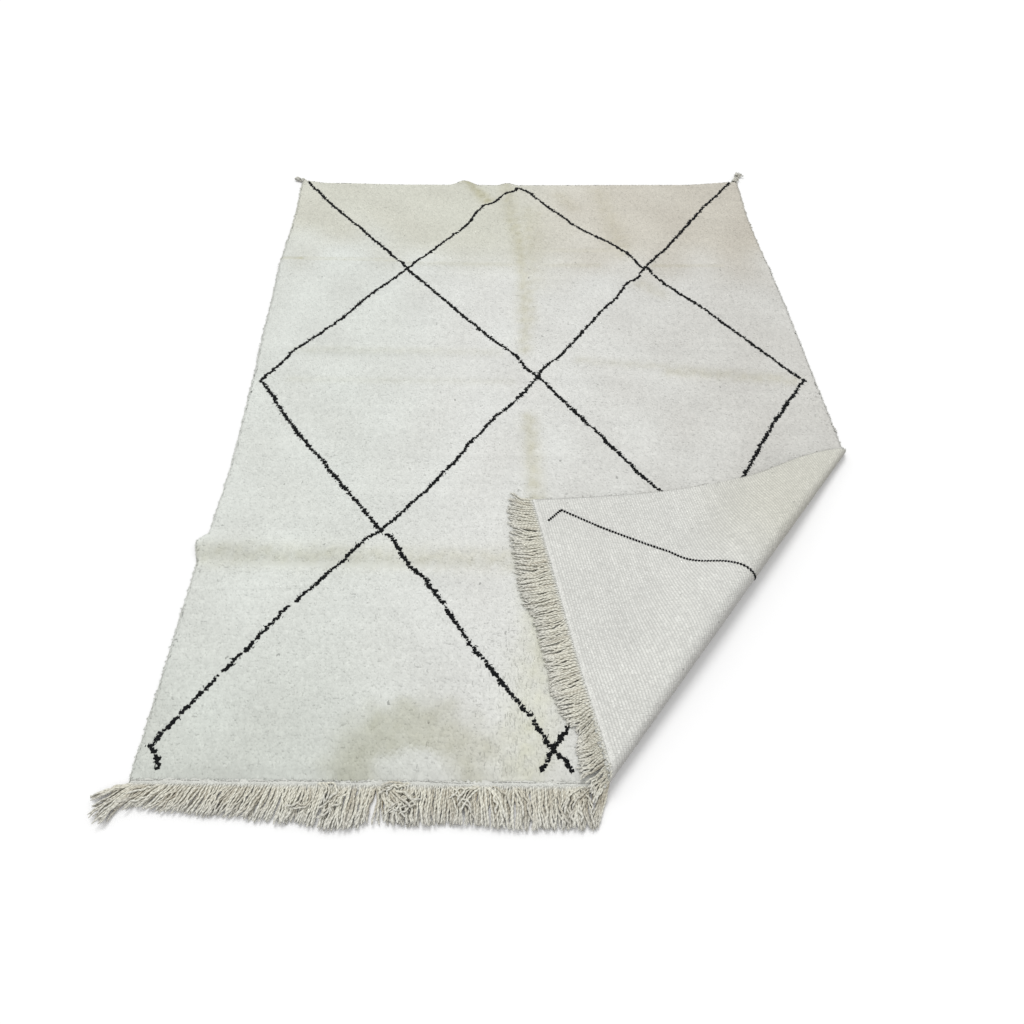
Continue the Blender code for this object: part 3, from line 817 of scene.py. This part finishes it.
def near_any(spots, others, reach):
    """True for the spots that have one of the others within reach."""
    tree = KDTree(len(others))
    for i, (x, y) in enumerate(others):
        tree.insert((x, y, 0.0), i)
    tree.balance()
    return np.array([tree.find((x, y, 0.0))[2] < reach for x, y in spots])


def staggered(rows, first, last, pitch):
    """Across and along of spots in rows, every second row of them moved by half a pitch."""
    along, across = np.meshgrid(rows, np.arange(first, last, pitch), indexing="ij")
    return across + (np.arange(len(rows)) % 2)[:, None] * pitch / 2, along


def pile_spots(dice, dark_spots):
    """Spots of the pile's cream yarn ends, in rows of knots, apart from where the lines run."""
    rows = np.arange(PILE_END + 0.3 * ROW, -NEAR_END, ROW)
    across, along = staggered(rows, -WIDTH / 2 - 0.01, WIDTH / 2 + 0.01, TUFT_PITCH)
    across = across + dice.uniform(-0.45, 0.45, across.shape) * TUFT_PITCH
    along = along + dice.uniform(-0.36, 0.36, along.shape) * ROW
    spots = pairs(across, along)
    spots = spots[(from_edges(*spots.T) > 0.0008) & (spots[:, 1] > pile_edge(spots[:, 0]) + SEAM_WIDTH)]
    spots = spots[~covered(*spots.T)]
    return spots[~near_any(spots, dark_spots, LINE_CLEARANCE)]


def cream_pile(dark_spots, finish):
    """The cream pile in a few bands, from the fringed end to the far one."""
    dice = np.random.default_rng(31)
    spots = pile_spots(dice, dark_spots)
    count = len(spots)
    width = TUFT_PITCH * dice.uniform(1.25, 1.75, count)
    length = ROW * dice.uniform(1.45, 2.10, count)
    room = np.clip(np.minimum(from_edges(*spots.T), spots[:, 1] - PILE_END) / RIM, 0.6, 1.0)
    width, length = width * room, length * room
    height = pile_height(*spots.T)
    low = GROUND + (height - GROUND) * (PILE_BED - 0.03)
    high = height + dice.normal(0, 0.0002, count)
    turn = dice.normal(0, 0.6, count)
    lean = -dice.uniform(0.0008, 0.0030, count)
    tones = speckled(wool_color(*spots.T), count, dice, 0.028)
    tones[dice.uniform(0, 1, count) < 0.0004] *= 0.6
    pieces = []
    for i in range(PILE_BANDS):
        part = slice(count * i // PILE_BANDS, count * (i + 1) // PILE_BANDS)
        pieces.append(bumps(
            f"rug_pile_{i + 1}", spots[part], (width[part], length[part]), low[part], high[part],
            tones[part], finish, turn=turn[part], lean=lean[part], foot_shade=0.98, bed=pile_height,
        ))
    return pieces


def painted_gap_shade(dark_spots, finish):
    """Dark slivers on the pile, as painted shade of the gaps between its rows, and upright ones where the
    pile is worn.
    """
    dice = np.random.default_rng(38)
    spots = pile_spots(dice, dark_spots)
    worn = streaked(*spots.T, WORN)
    chosen = dice.uniform(0, 1, len(spots)) < SHADED_GAP_SHARE + WORN_SHADED_GAP_SHARE * worn
    spots, worn = spots[chosen], worn[chosen]
    count = len(spots)
    upright = dice.uniform(0, 1, count) < 0.10 + worn
    wide = np.where(upright, dice.uniform(0.0014, 0.0026, count), dice.uniform(0.006, 0.014, count))
    long = np.where(upright, dice.uniform(0.006, 0.014, count), dice.uniform(0.0020, 0.0034, count))
    height = pile_height(*spots.T)
    shade = np.where(upright, dice.uniform(0.68, 0.88, count), dice.uniform(0.76, 0.92, count))
    # The slivers are the pile's colour painted darker, as painted shade
    tones = wool_color(*spots.T) * shade[:, None]
    return bumps(
        "rug_pile_gap_shade", spots, (wide, long), height - 0.0006, height + 0.0002, tones, finish,
        turn=dice.normal(0, 0.12, count), form=KNOB, foot_shade=1.0, bed=pile_height,
    )


def dark_lines(spots, finish):
    """The lattice's dark knots, in thick and thin stretches, with stray fibres over the cream pile."""
    dice = np.random.default_rng(32)
    swell = 1 + 0.26 * drift(*spots.T, 44, 0.022, 0.022) + dice.normal(0, 0.14, len(spots))
    on_pile = (spots[:, 1] > PILE_END) & (from_edges(*spots.T) > 0.003)
    shown = ~covered(*spots.T) & on_pile & (swell > 0.50)
    spots, swell = spots[shown], np.clip(swell[shown], 0.60, 1.35)
    spots = spots + dice.normal(0, 1.0, spots.shape) * (0.0013, 0.0005)
    count = len(spots)
    height = pile_height(*spots.T)
    low = GROUND + (height - GROUND) * (PILE_BED + 0.02)
    tones = speckled(linear(DARK), count, dice, 0.15)
    size = [side * swell * dice.uniform(0.9, 1.1, count) for side in LINE_KNOT]
    high = height + dice.uniform(0.0004, 0.0012, count)
    turn = dice.normal(0.20, 0.35, count)
    knots = bumps("rug_lines", spots, size, low, high, tones, finish, turn=turn, form=LOAF, bed=pile_height)
    strays = spots + dice.normal(0, 1.0, (count, 2)) * (0.0036, 0.0024)
    high = pile_height(*strays.T) + dice.uniform(0.0004, 0.0018, count)
    hairs = bumps(
        "rug_line_fibres", strays, (0.0016, dice.uniform(0.005, 0.011, count)), high - 0.0014, high,
        tones, finish, turn=dice.normal(0, 0.7, count), form=KNOB,
    )
    return knots, hairs


def back_knots(finish):
    """Knots that show in rows on the folded corner's back and round the bend."""
    dice = np.random.default_rng(33)
    pitch = KNOT / 2
    rows = np.arange(0, round((FOLD_RIGHT[1] + 0.05 - NEAR_END) / ROW))
    columns = np.arange(round(FOLD_NEAR[0] / pitch) - 25, round(WIDTH / 2 / pitch) + 1)
    row, column = np.meshgrid(rows, columns, indexing="ij")
    spots = pairs((column + 0.5) * pitch, NEAR_END + row * ROW)
    spots = spots[back_shows(spots) & (from_edges(*spots.T) > 0.002)]
    spots = spots + dice.normal(0, 0.0004, spots.shape)
    count = len(spots)
    tones = speckled(back_color(*spots.T), count, dice, 0.055)
    tones[dice.uniform(0, 1, count) < 0.0008] *= 0.60
    size = (pitch * dice.uniform(1.0, 1.4, count), ROW * dice.uniform(0.78, 0.92, count))
    rise = -dice.uniform(0.0007, 0.0017, count)
    return bumps(
        "rug_back_knots", spots, size, 0.0003, rise, tones, finish,
        turn=dice.normal(0, 0.12, count), form=KNOB, foot_shade=0.80,
    )


def back_line(finish):
    """Backs of the dark knots on the folded corner, as evenly spaced dots."""
    reach = running(np.hypot(*np.diff(LATTICE[0], axis=0).T))
    place = np.arange(0.0, reach[-1], DOT_PITCH)
    spots = pairs(*(np.interp(place, reach, column) for column in LATTICE[0].T))
    spots = spots[back_shows(spots) & (spots[:, 1] > PILE_END)]
    count = len(spots)
    dice = np.random.default_rng(37)
    tones = speckled(linear(DARK), count, dice, 0.2)
    size = (dice.uniform(0.0062, 0.0072, count), dice.uniform(0.0054, 0.0064, count))
    return bumps("rug_back_line", spots, size, 0.0, -0.0022, tones, finish, turn=0.2, form=LOAF)


def end_band(finish):
    """Weft ridges of the flat-woven band at the fringed end, on both of its sides."""
    dice = np.random.default_rng(34)
    rows = np.arange(WEAVE_END + 0.0010, PILE_END + 0.0010, WEFT)
    first, last = LEFT_EDGE[0][1] + 0.003, RIGHT_EDGE[0][1] - 0.002
    spots = pairs(*staggered(rows, first, last, WEFT_RIDGE))
    spots = spots + dice.normal(0, 0.0004, spots.shape)
    across, along = spots.T
    count = len(spots)
    tones = speckled(band_color(across, along), count, dice, 0.06)
    # The band's last weft row is painted darker, as painted shade under the pile's edge
    shaded_seam = (along > rows[-1] - WEFT / 2) & (drift(across, 0, 18, 0.09, 1.0) > -0.6)
    tones = np.where(shaded_seam[:, None], tones * SEAM_SHADE, tones)
    along = along + (pile_edge(across) - PILE_END) * (along - WEAVE_END) / (PILE_END - WEAVE_END)
    spots = pairs(across, along)
    size = (0.0056, 0.0027)
    rise = dice.uniform(0.0006, 0.0014, count)
    front = bumps("rug_end_band", spots, size, GROUND - 0.0002, GROUND + rise, tones, finish, form=KNOB)
    under = speckled(back_color(across, along), count, dice, 0.06)
    back = bumps("rug_end_band_back", spots, size, 0.0002, -0.6 * rise, under, finish, form=KNOB)
    return front, back


# ---- Selvedges


def edge_runs(pitch):
    """The cloth's finished edges, as spots, outward directions and directions along the edge."""
    side = np.arange(WEAVE_END + 0.004, -NEAR_END - 0.008, pitch)
    far = np.arange(LEFT_EDGE[-1][1] + 0.004, RIGHT_EDGE[-1][1] - 0.003, pitch)
    across = np.concatenate((*side_edges(side), far))
    along = np.concatenate((side, side, between_rows(FAR_EDGE, far)[0]))
    counts = (len(side), len(side), len(far))
    outward = np.repeat(((-1.0, 0.0), (1.0, 0.0), (0.0, 1.0)), counts, axis=0)
    onward = np.repeat(((0.0, 1.0), (0.0, 1.0), (1.0, 0.0)), counts, axis=0)
    wave = 0.0006 * drift(across, along, 43, 0.05, 0.05)
    return across + outward[:, 0] * wave, along + outward[:, 1] * wave, outward, onward


def selvedges(finish):
    """Overcast edges: turns of yarn wound over both sides and the far end."""
    dice = np.random.default_rng(35)
    *starts, outward, onward = edge_runs(OVERCAST_PITCH)
    count = len(outward)
    rings = np.array((-0.5, 0.0, 0.5))
    turns = np.linspace(-math.pi / 2, math.pi / 2, 5)
    swell = (np.array((0.62, 1.0, 0.62)) * dice.uniform(0.9, 1.15, (count, 1)))[:, :, None]
    reach = 0.0028 * swell * np.cos(turns) - 0.0006
    up = 0.0034 + (RIM_HEIGHT / 2 + 0.0004) * swell * np.sin(turns)
    shift = rings[:, None] * OVERCAST_PITCH * 1.08 + 0.0016 * np.sin(turns)
    across, along = (
        start[:, None, None] + outward[:, k, None, None] * reach + onward[:, k, None, None] * shift
        for k, start in enumerate(starts)
    )
    points = lie(across, along, np.maximum(up, 0.0002)).reshape(-1, 3)
    size = len(rings) * len(turns)
    triangles = repeated(skin(len(rings), len(turns))[:, (0, 2, 1)], count, size)
    tones = speckled(linear(BAND), count, dice, 0.06)
    tones[drift(*starts, 41, 0.08, 0.08) > 1.0] *= 0.72
    tones = np.repeat(tones, size, axis=0)
    return add_object(array_mesh("rug_selvedges", points, triangles, pairs(across, along), tones, finish))


def edge_fuzz(finish):
    """Stray tufts of wool that stand out over the edges."""
    dice = np.random.default_rng(36)
    across, along, outward, _ = edge_runs(FUZZ_PITCH)
    count = len(across)
    reach = dice.uniform(-0.0020, 0.0018, count)
    spots = pairs(across + outward[:, 0] * reach, along + outward[:, 1] * reach)
    spots = spots + dice.normal(0, 0.0012, spots.shape)
    turn = np.arctan2(outward[:, 1], outward[:, 0]) - math.pi / 2 + dice.normal(0, 0.6, count)
    size = (dice.uniform(0.0018, 0.0034, count), dice.uniform(0.004, 0.008, count))
    low = dice.uniform(0.0020, 0.0040, count)
    # The fuzz is painted darker than the pile, as painted shade at the edges
    tones = speckled(wool_color(across, along) * 0.93, count, dice, 0.07)
    return bumps("rug_edge_fuzz", spots, size, low, low + 0.0030, tones, finish, turn=turn)


# ---- Yarns


def unit(vectors):
    """Vectors at a length of 1."""
    return vectors / np.maximum(np.linalg.norm(vectors, axis=-1, keepdims=True), 1e-6)


def running(steps):
    """The sums of steps so far, from 0."""
    return np.concatenate((np.zeros((*steps.shape[:-1], 1)), np.cumsum(steps, -1)), -1)


def yarns(name, paths, radii, tones, finish):
    """Plied yarns along paths of equal counts of points, joined into one mesh."""
    count, steps, _ = paths.shape
    tangent = unit(np.gradient(paths, axis=1))
    side = unit(np.cross(tangent, (0.0, 0.0, 1.0)))
    above = np.cross(side, tangent)
    ring = np.arange(YARN_SIDES)
    angle = ring * math.tau / YARN_SIDES
    each = np.arange(count)[:, None, None]
    twist = ring - np.arange(steps)[:, None] + each * 5 // 3
    size = radii[:, :, None] * np.where(twist % 3 == 0, 1.10, 0.93)
    points = paths[:, :, None, :] + size[..., None] * (
        np.cos(angle)[:, None] * side[:, :, None, :] + np.sin(angle)[:, None] * above[:, :, None, :]
    )
    points[..., 2] = np.maximum(points[..., 2], CLEAR_OF_FLOOR)
    triangles = repeated(skin(steps, YARN_SIDES, closed=True), count, steps * YARN_SIDES)
    turn = np.broadcast_to(ring / YARN_SIDES, (count, steps, YARN_SIDES))
    lengths = running(np.linalg.norm(np.diff(paths, axis=1), axis=2))
    rise = np.broadcast_to(lengths[:, :, None], turn.shape)
    colors = np.repeat(tones, YARN_SIDES, axis=1).reshape(-1, 3)
    flat = pairs(each + 0.8 * turn, rise)
    data = array_mesh(name, points.reshape(-1, 3), triangles, flat, colors, finish)
    ply = pairs(2 * math.tau * turn + 2.4 * each, rise * math.tau / PLY_LENGTH)
    chart(data, "ply", ply[triangles.ravel()], fill=False)
    return add_object(data)


def strand_paths(root, heading, bend, length, rest, dice, wave=0.0020, lift=TIP_LIFT):
    """Paths of wavy strands that leave their roots, come to rest, and lift their tips a little."""
    count = len(root)
    heading, bend, length, rest = (
        np.broadcast_to(value, count)[:, None] for value in (heading, bend, length, rest)
    )
    angle = heading - bend / 2 + bend * SHARES
    step = length / (STRAND_POINTS - 1)
    x = root[:, :1] + running(np.cos(angle[:, :-1]) * step)
    y = root[:, 1:2] + running(np.sin(angle[:, :-1]) * step)
    sway = np.zeros_like(x)
    for pitch in (1.0, 2.2, 3.7):
        phase = dice.uniform(0, math.tau, (count, 1))
        sway += np.sin(math.tau * pitch * SHARES + phase) * dice.normal(0, wave / pitch, (count, 1))
    sway *= ease(SHARES * 2.5)
    x -= np.sin(angle) * sway
    y += np.cos(angle) * sway
    settle = ease(SHARES / DROP)
    z = root[:, 2:3] * (1 - settle) + rest * settle
    hover = dice.uniform(0.0, 0.0016, (count, 1)) * np.sin(math.pi * SHARES) ** 2
    rise = dice.uniform(0.0, 1.0, (count, 1)) * lift * ease((SHARES - 0.45) / 0.55)
    return np.stack((x, y, z + hover + rise), -1)


def yarn_tones(count, dice, age_and_shade):
    """Colours along strands: the band's at the root, then each strand its own, and paler tips."""
    mixing = np.clip(age_and_shade + dice.normal(0, 0.25, (count, 1)), -0.1, 1.3)[..., None]
    color = linear(YARN) * (1 - mixing) + linear(YARN_OLD) * mixing
    share = SHARES[:, None]
    root, tip = 1 - ease(share / ROOT_SHARE), 0.6 * ease((share - 0.45) / 0.55)
    color = color * (1 - root) + linear(BAND) * root
    color = color * (1 - tip) + linear(YARN_TIP) * tip
    return color * (1 + dice.normal(0, 0.03, (count, STRAND_POINTS, 1)))


def strand_radii(count, dice):
    """Radii along strands, which taper at the tips."""
    taper = 1 - 0.60 * ease((SHARES - 0.92) / 0.08)
    return STRAND_RADIUS * taper * dice.uniform(0.80, 1.15, (count, 1))


def spun(name, paths, age_and_shade, dice, finish, tint=1.0):
    """Strands of yarn along paths, in wool of an age, which also stands for painted shade in the lower
    layers of fringe and painted light on the folded fringe.
    """
    tones = yarn_tones(len(paths), dice, age_and_shade) * tint
    return yarns(name, paths, strand_radii(len(paths), dice), tones, finish)


def fanned(table, first, last, pitch, layer, uneven, habit, dice):
    """Places of one layer's strands, and their leans, bends and lengths after a table's rows."""
    seed, swing, curl, lean_share, bend_share, shortest, longest = habit
    places = np.arange(first, last, pitch)
    places = places + dice.normal(0, 0.0012, len(places))
    count = len(places)
    lean, length, bend = between_rows(table, places)
    sway, curls = (drift(places, 0, seed + layer + k, 0.07, 1.0) for k in (0, 1))
    lean = lean + swing * sway + dice.normal(0, lean_share * uneven, count)
    bend = bend + curl * curls + dice.normal(0, bend_share * uneven, count)
    return places, np.radians(lean), np.radians(bend), length * dice.uniform(shortest, longest, count)


def front_fringe(finish):
    """Fringe of the lying part of the end, in layers, and the strands that curl over them."""
    dice = np.random.default_rng(51)
    pieces = []
    first, last = LEFT_EDGE[0][1] + 0.003, BEND_FRINGE[0][0] - 0.006
    for layer, pitch, height, uneven, age_and_shade in FRINGE_LAYERS:
        places, lean, bend, length = fanned(
            FRONT_FRINGE, first, last, pitch, layer, uneven, FRONT_HABIT, dice
        )
        root = lie(places, ROOT_PLACE, 0.0010 + 0.0014 * layer)
        paths = strand_paths(root, lean - math.pi / 2, bend, length, STRAND_RADIUS * height, dice)
        # The wool is older at the left corner, and paler in waves from there to 0.32 left of the middle
        aged = 0.45 * ease((-0.77 - places) / 0.06) - 0.35 * hump(places + 0.52, 0.20)
        # Lower layers get older, darker wool, as painted shade under the strands above
        pieces.append(spun(f"fringe_front_{layer}", paths, age_and_shade + aged[:, None], dice, finish))
    return [*pieces, tangles(dice, finish)]


def tangles(dice, finish):
    """Strands that curl over the others."""
    rows = np.repeat(TANGLES, TANGLES[:, 4].astype(int), axis=0)
    place, lean, length, bend, _, spread, stray = rows.T
    count = len(rows)
    place = place + spread * dice.uniform(-1, 1, count)
    heading = np.radians(lean + stray * dice.normal(0, 1, count) - 90)
    length = length * dice.uniform(0.80, 1.05, count)
    bend = np.radians(bend * dice.uniform(0.5, 1.25, count))
    rest = STRAND_RADIUS * dice.uniform(3.6, 5.4, count)
    paths = strand_paths(lie(place, ROOT_PLACE, 0.0046), heading, bend, length, rest, dice, wave=0.003)
    radii = strand_radii(count, dice)
    return yarns("fringe_tangles", paths, radii, yarn_tones(count, dice, 0.1), finish)


def folded_fringe(finish):
    """Fringe in the bend, which drops to the floor, and fringe on the pile past it."""
    dice = np.random.default_rng(52)
    pieces = [bend_fringe(dice, finish)]
    folded_out = FOLD_ALONG * (2 * np.dot((0.0, -1.0), FOLD_ALONG)) - np.array((0.0, -1.0))
    straight = math.atan2(folded_out[1], folded_out[0])
    first, last = FOLDED_FRINGE[0][0], FOLDED_FRINGE[-1][0]
    for layer, pitch, height, uneven, age_and_shade in FRINGE_LAYERS:
        places, lean, bend, length = fanned(
            FOLDED_FRINGE, first, last, pitch, layer, uneven, FOLDED_HABIT, dice
        )
        root = lie(places, ROOT_PLACE, 0.0034 - 0.0014 * layer)
        rest = THICKNESS + STRAND_RADIUS * (0.6 * height - 0.4)
        paths = strand_paths(root, straight - lean, -bend, length, rest, dice, lift=0.002)
        # The folded fringe's wool is painted paler than the fringe on the floor, as painted light
        pieces.append(spun(f"fringe_folded_{layer}", paths, 0.7 * age_and_shade - 0.30, dice, finish))
    return pieces


def bend_fringe(dice, finish):
    """Fringe that hangs out of the bend."""
    places = np.arange(BEND_FRINGE[0][0], BEND_FRINGE[-1][0], STRAND_PITCH / 1.9)
    lean, length, _ = between_rows(BEND_FRINGE, places)
    count = len(places)
    heading = np.radians(lean + dice.normal(0, 6, count) - 90)
    root = lie(places, WEAVE_END + 0.003, 0.0024)
    rest = STRAND_RADIUS * dice.uniform(1.0, 2.6, count)
    paths = strand_paths(root, heading, np.radians(dice.normal(0, 14, count)), length, rest, dice)
    radii = strand_radii(count, dice)
    return yarns("fringe_bend", paths, radii, yarn_tones(count, dice, 0.5), finish)


def fringe_knots(finish):
    """Small fuzzy knots where the warp ends leave the cloth."""
    dice = np.random.default_rng(53)
    places = np.arange(LEFT_EDGE[0][1] + 0.004, RIGHT_EDGE[0][1] - 0.002, STRAND_PITCH)
    places = np.concatenate((places, places + STRAND_PITCH / 2))
    count = len(places)
    spots = pairs(places, WEAVE_END + dice.uniform(-0.004, 0.002, count))
    spots = spots + dice.normal(0, 0.0010, spots.shape)
    size = (dice.uniform(0.0035, 0.0065, count), dice.uniform(0.006, 0.010, count))
    tones = speckled(linear(BAND), count, dice, 0.08)
    turn = dice.normal(0, 0.4, count)
    top = bumps("fringe_knots", spots, size, 0.0010, GROUND + 0.0014, tones, finish, turn=turn)
    small = [0.7 * side for side in size]
    back = bumps("fringe_knots_back", spots, small, 0.0022, -0.0002, 0.92 * tones, finish, turn=turn)
    return top, back


def tassel(name, across, along, direction, ends, windings, finish):
    """A small tassel on the floor: loose yarn ends from the corner, and the yarn wound round them."""
    dice = np.random.default_rng(len(name))
    heading = math.radians(direction)
    out = np.array((math.cos(heading), math.sin(heading), 0.0))
    side = np.array((-out[1], out[0], 0.0))
    start = np.array((across, along, 0.0040))
    count = sum(row[0] for row in ends)
    _, place, turn, length = np.repeat(ends, [row[0] for row in ends], axis=0).T
    spread = dice.uniform(-1, 1, count)
    root = start + out * place[:, None] + side * (0.0035 * spread)[:, None]
    paths = strand_paths(
        root, heading + np.radians(turn) + 0.10 * spread, dice.normal(0, 0.25, count),
        length * dice.uniform(0.78, 1.0, count), STRAND_RADIUS * dice.uniform(1.0, 2.6, count), dice,
    )
    coils = []
    for centre, half_width, turns in windings:
        angle = math.tau * turns * SHARES
        run = out * (centre + (SHARES - 0.5) * COIL_LENGTH)[:, None]
        coil = start + run + side * (np.cos(angle) * half_width)[:, None]
        coil[:, 2] = STRAND_RADIUS + half_width * 0.75 * (1 + np.sin(angle))
        coils.append(coil)
    # The tassels' yarn is painted greyer and darker, as painted shade
    tint = linear(TASSEL_SHADE_TINT)
    yield spun(name + "_ends", paths, 0.1, dice, finish, tint)
    yield spun(name + "_knots", np.array(coils), 0.1, dice, finish, tint)


# ---- Stage


def add_camera():
    """The photographer's camera."""
    pitch, yaw, roll = (math.radians(a) for a in (CAMERA_PITCH, CAMERA_YAW, CAMERA_ROLL))
    ahead = Vector((math.sin(yaw) * math.cos(pitch), math.cos(yaw) * math.cos(pitch), -math.sin(pitch)))
    level = Vector((math.cos(yaw), -math.sin(yaw), 0.0))
    upright = level.cross(ahead)
    right = level * math.cos(roll) + upright * math.sin(roll)
    up = upright * math.cos(roll) - level * math.sin(roll)
    data = bpy.data.cameras.new("camera")
    data.lens = CAMERA_LENS
    data.sensor_width = 36.0
    data.shift_x = CAMERA_SHIFT
    data.clip_start = 0.05
    camera = add_object(data)
    facing = Matrix((right, up, -ahead)).transposed().to_4x4()
    camera.matrix_world = Matrix.Translation(CAMERA_PLACE) @ facing
    bpy.context.scene.camera = camera


def add_light():
    """A bright, even sky and a broad, soft sun from the left and beyond the rug."""
    world = bpy.data.worlds.new("sky")
    world.use_nodes = True
    background = world.node_tree.nodes["Background"]
    background.inputs["Color"].default_value = (1.0, 1.0, 1.0, 1.0)
    background.inputs["Strength"].default_value = SKY_STRENGTH
    bpy.context.scene.world = world
    data = bpy.data.lights.new("sun", "SUN")
    data.angle = math.radians(SUN_ANGLE)
    data.energy = SUN_STRENGTH
    sun = add_object(data)
    sun.rotation_euler = (-Vector(SUN_DIRECTION)).to_track_quat("-Z", "Y").to_euler()


def add_floor():
    """A large, pale, matt floor."""
    mesh = bmesh.new()
    bmesh.ops.create_grid(mesh, x_segments=1, y_segments=1, size=FLOOR_SIZE / 2)
    tone = (FLOOR_TONE, FLOOR_TONE, FLOOR_TONE, 1.0)
    finish, _ = new_material("floor", Base_Color=tone, Roughness=1.0, Specular_IOR_Level=0.0)
    floor = add_object(finished("floor", mesh, finish))
    floor.location.z = -0.0005


def wear(piece, node):
    """Puts a piece on the model: it rides on the root body, and the imported part it stands in for is
    hidden.
    """
    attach(piece, "root")
    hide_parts(node)


def main():
    """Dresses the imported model, and puts it on the floor before the camera."""
    wool = wool_material("wool_pile", 0.20, 900.0, 0.0006)
    dark = wool_material("wool_dark", 0.02, 900.0, 0.0006)
    weave = wool_material("wool_back", 0.10, 420.0, 0.0003, rows_of_knots)
    yarn = wool_material("yarn_plied", 0.15, 700.0, 0.0003, plies)
    knots = wool_material("yarn_knots", 0.15, 700.0, 0.0004)
    lattice = lattice_spots()
    cloth = base_cloth(wool, weave)
    wear(cloth, "rug")
    for piece in (
        *cream_pile(lattice, wool), painted_gap_shade(lattice, wool), *dark_lines(lattice, dark),
        back_knots(knots), back_line(dark),
        *end_band(knots), selvedges(knots), edge_fuzz(wool),
    ):
        wear(piece, "rug")
    for piece in (*front_fringe(yarn), *fringe_knots(knots)):
        wear(piece, "fringe_front")
    for piece in folded_fringe(yarn):
        wear(piece, "fringe_folded")
    for name, *sizes in TASSELS:
        for piece in tassel(name, *sizes, yarn):
            wear(piece, name)
    add_floor()
    add_light()
    add_camera()
    bpy.context.scene.view_settings.view_transform = "Standard"


main()
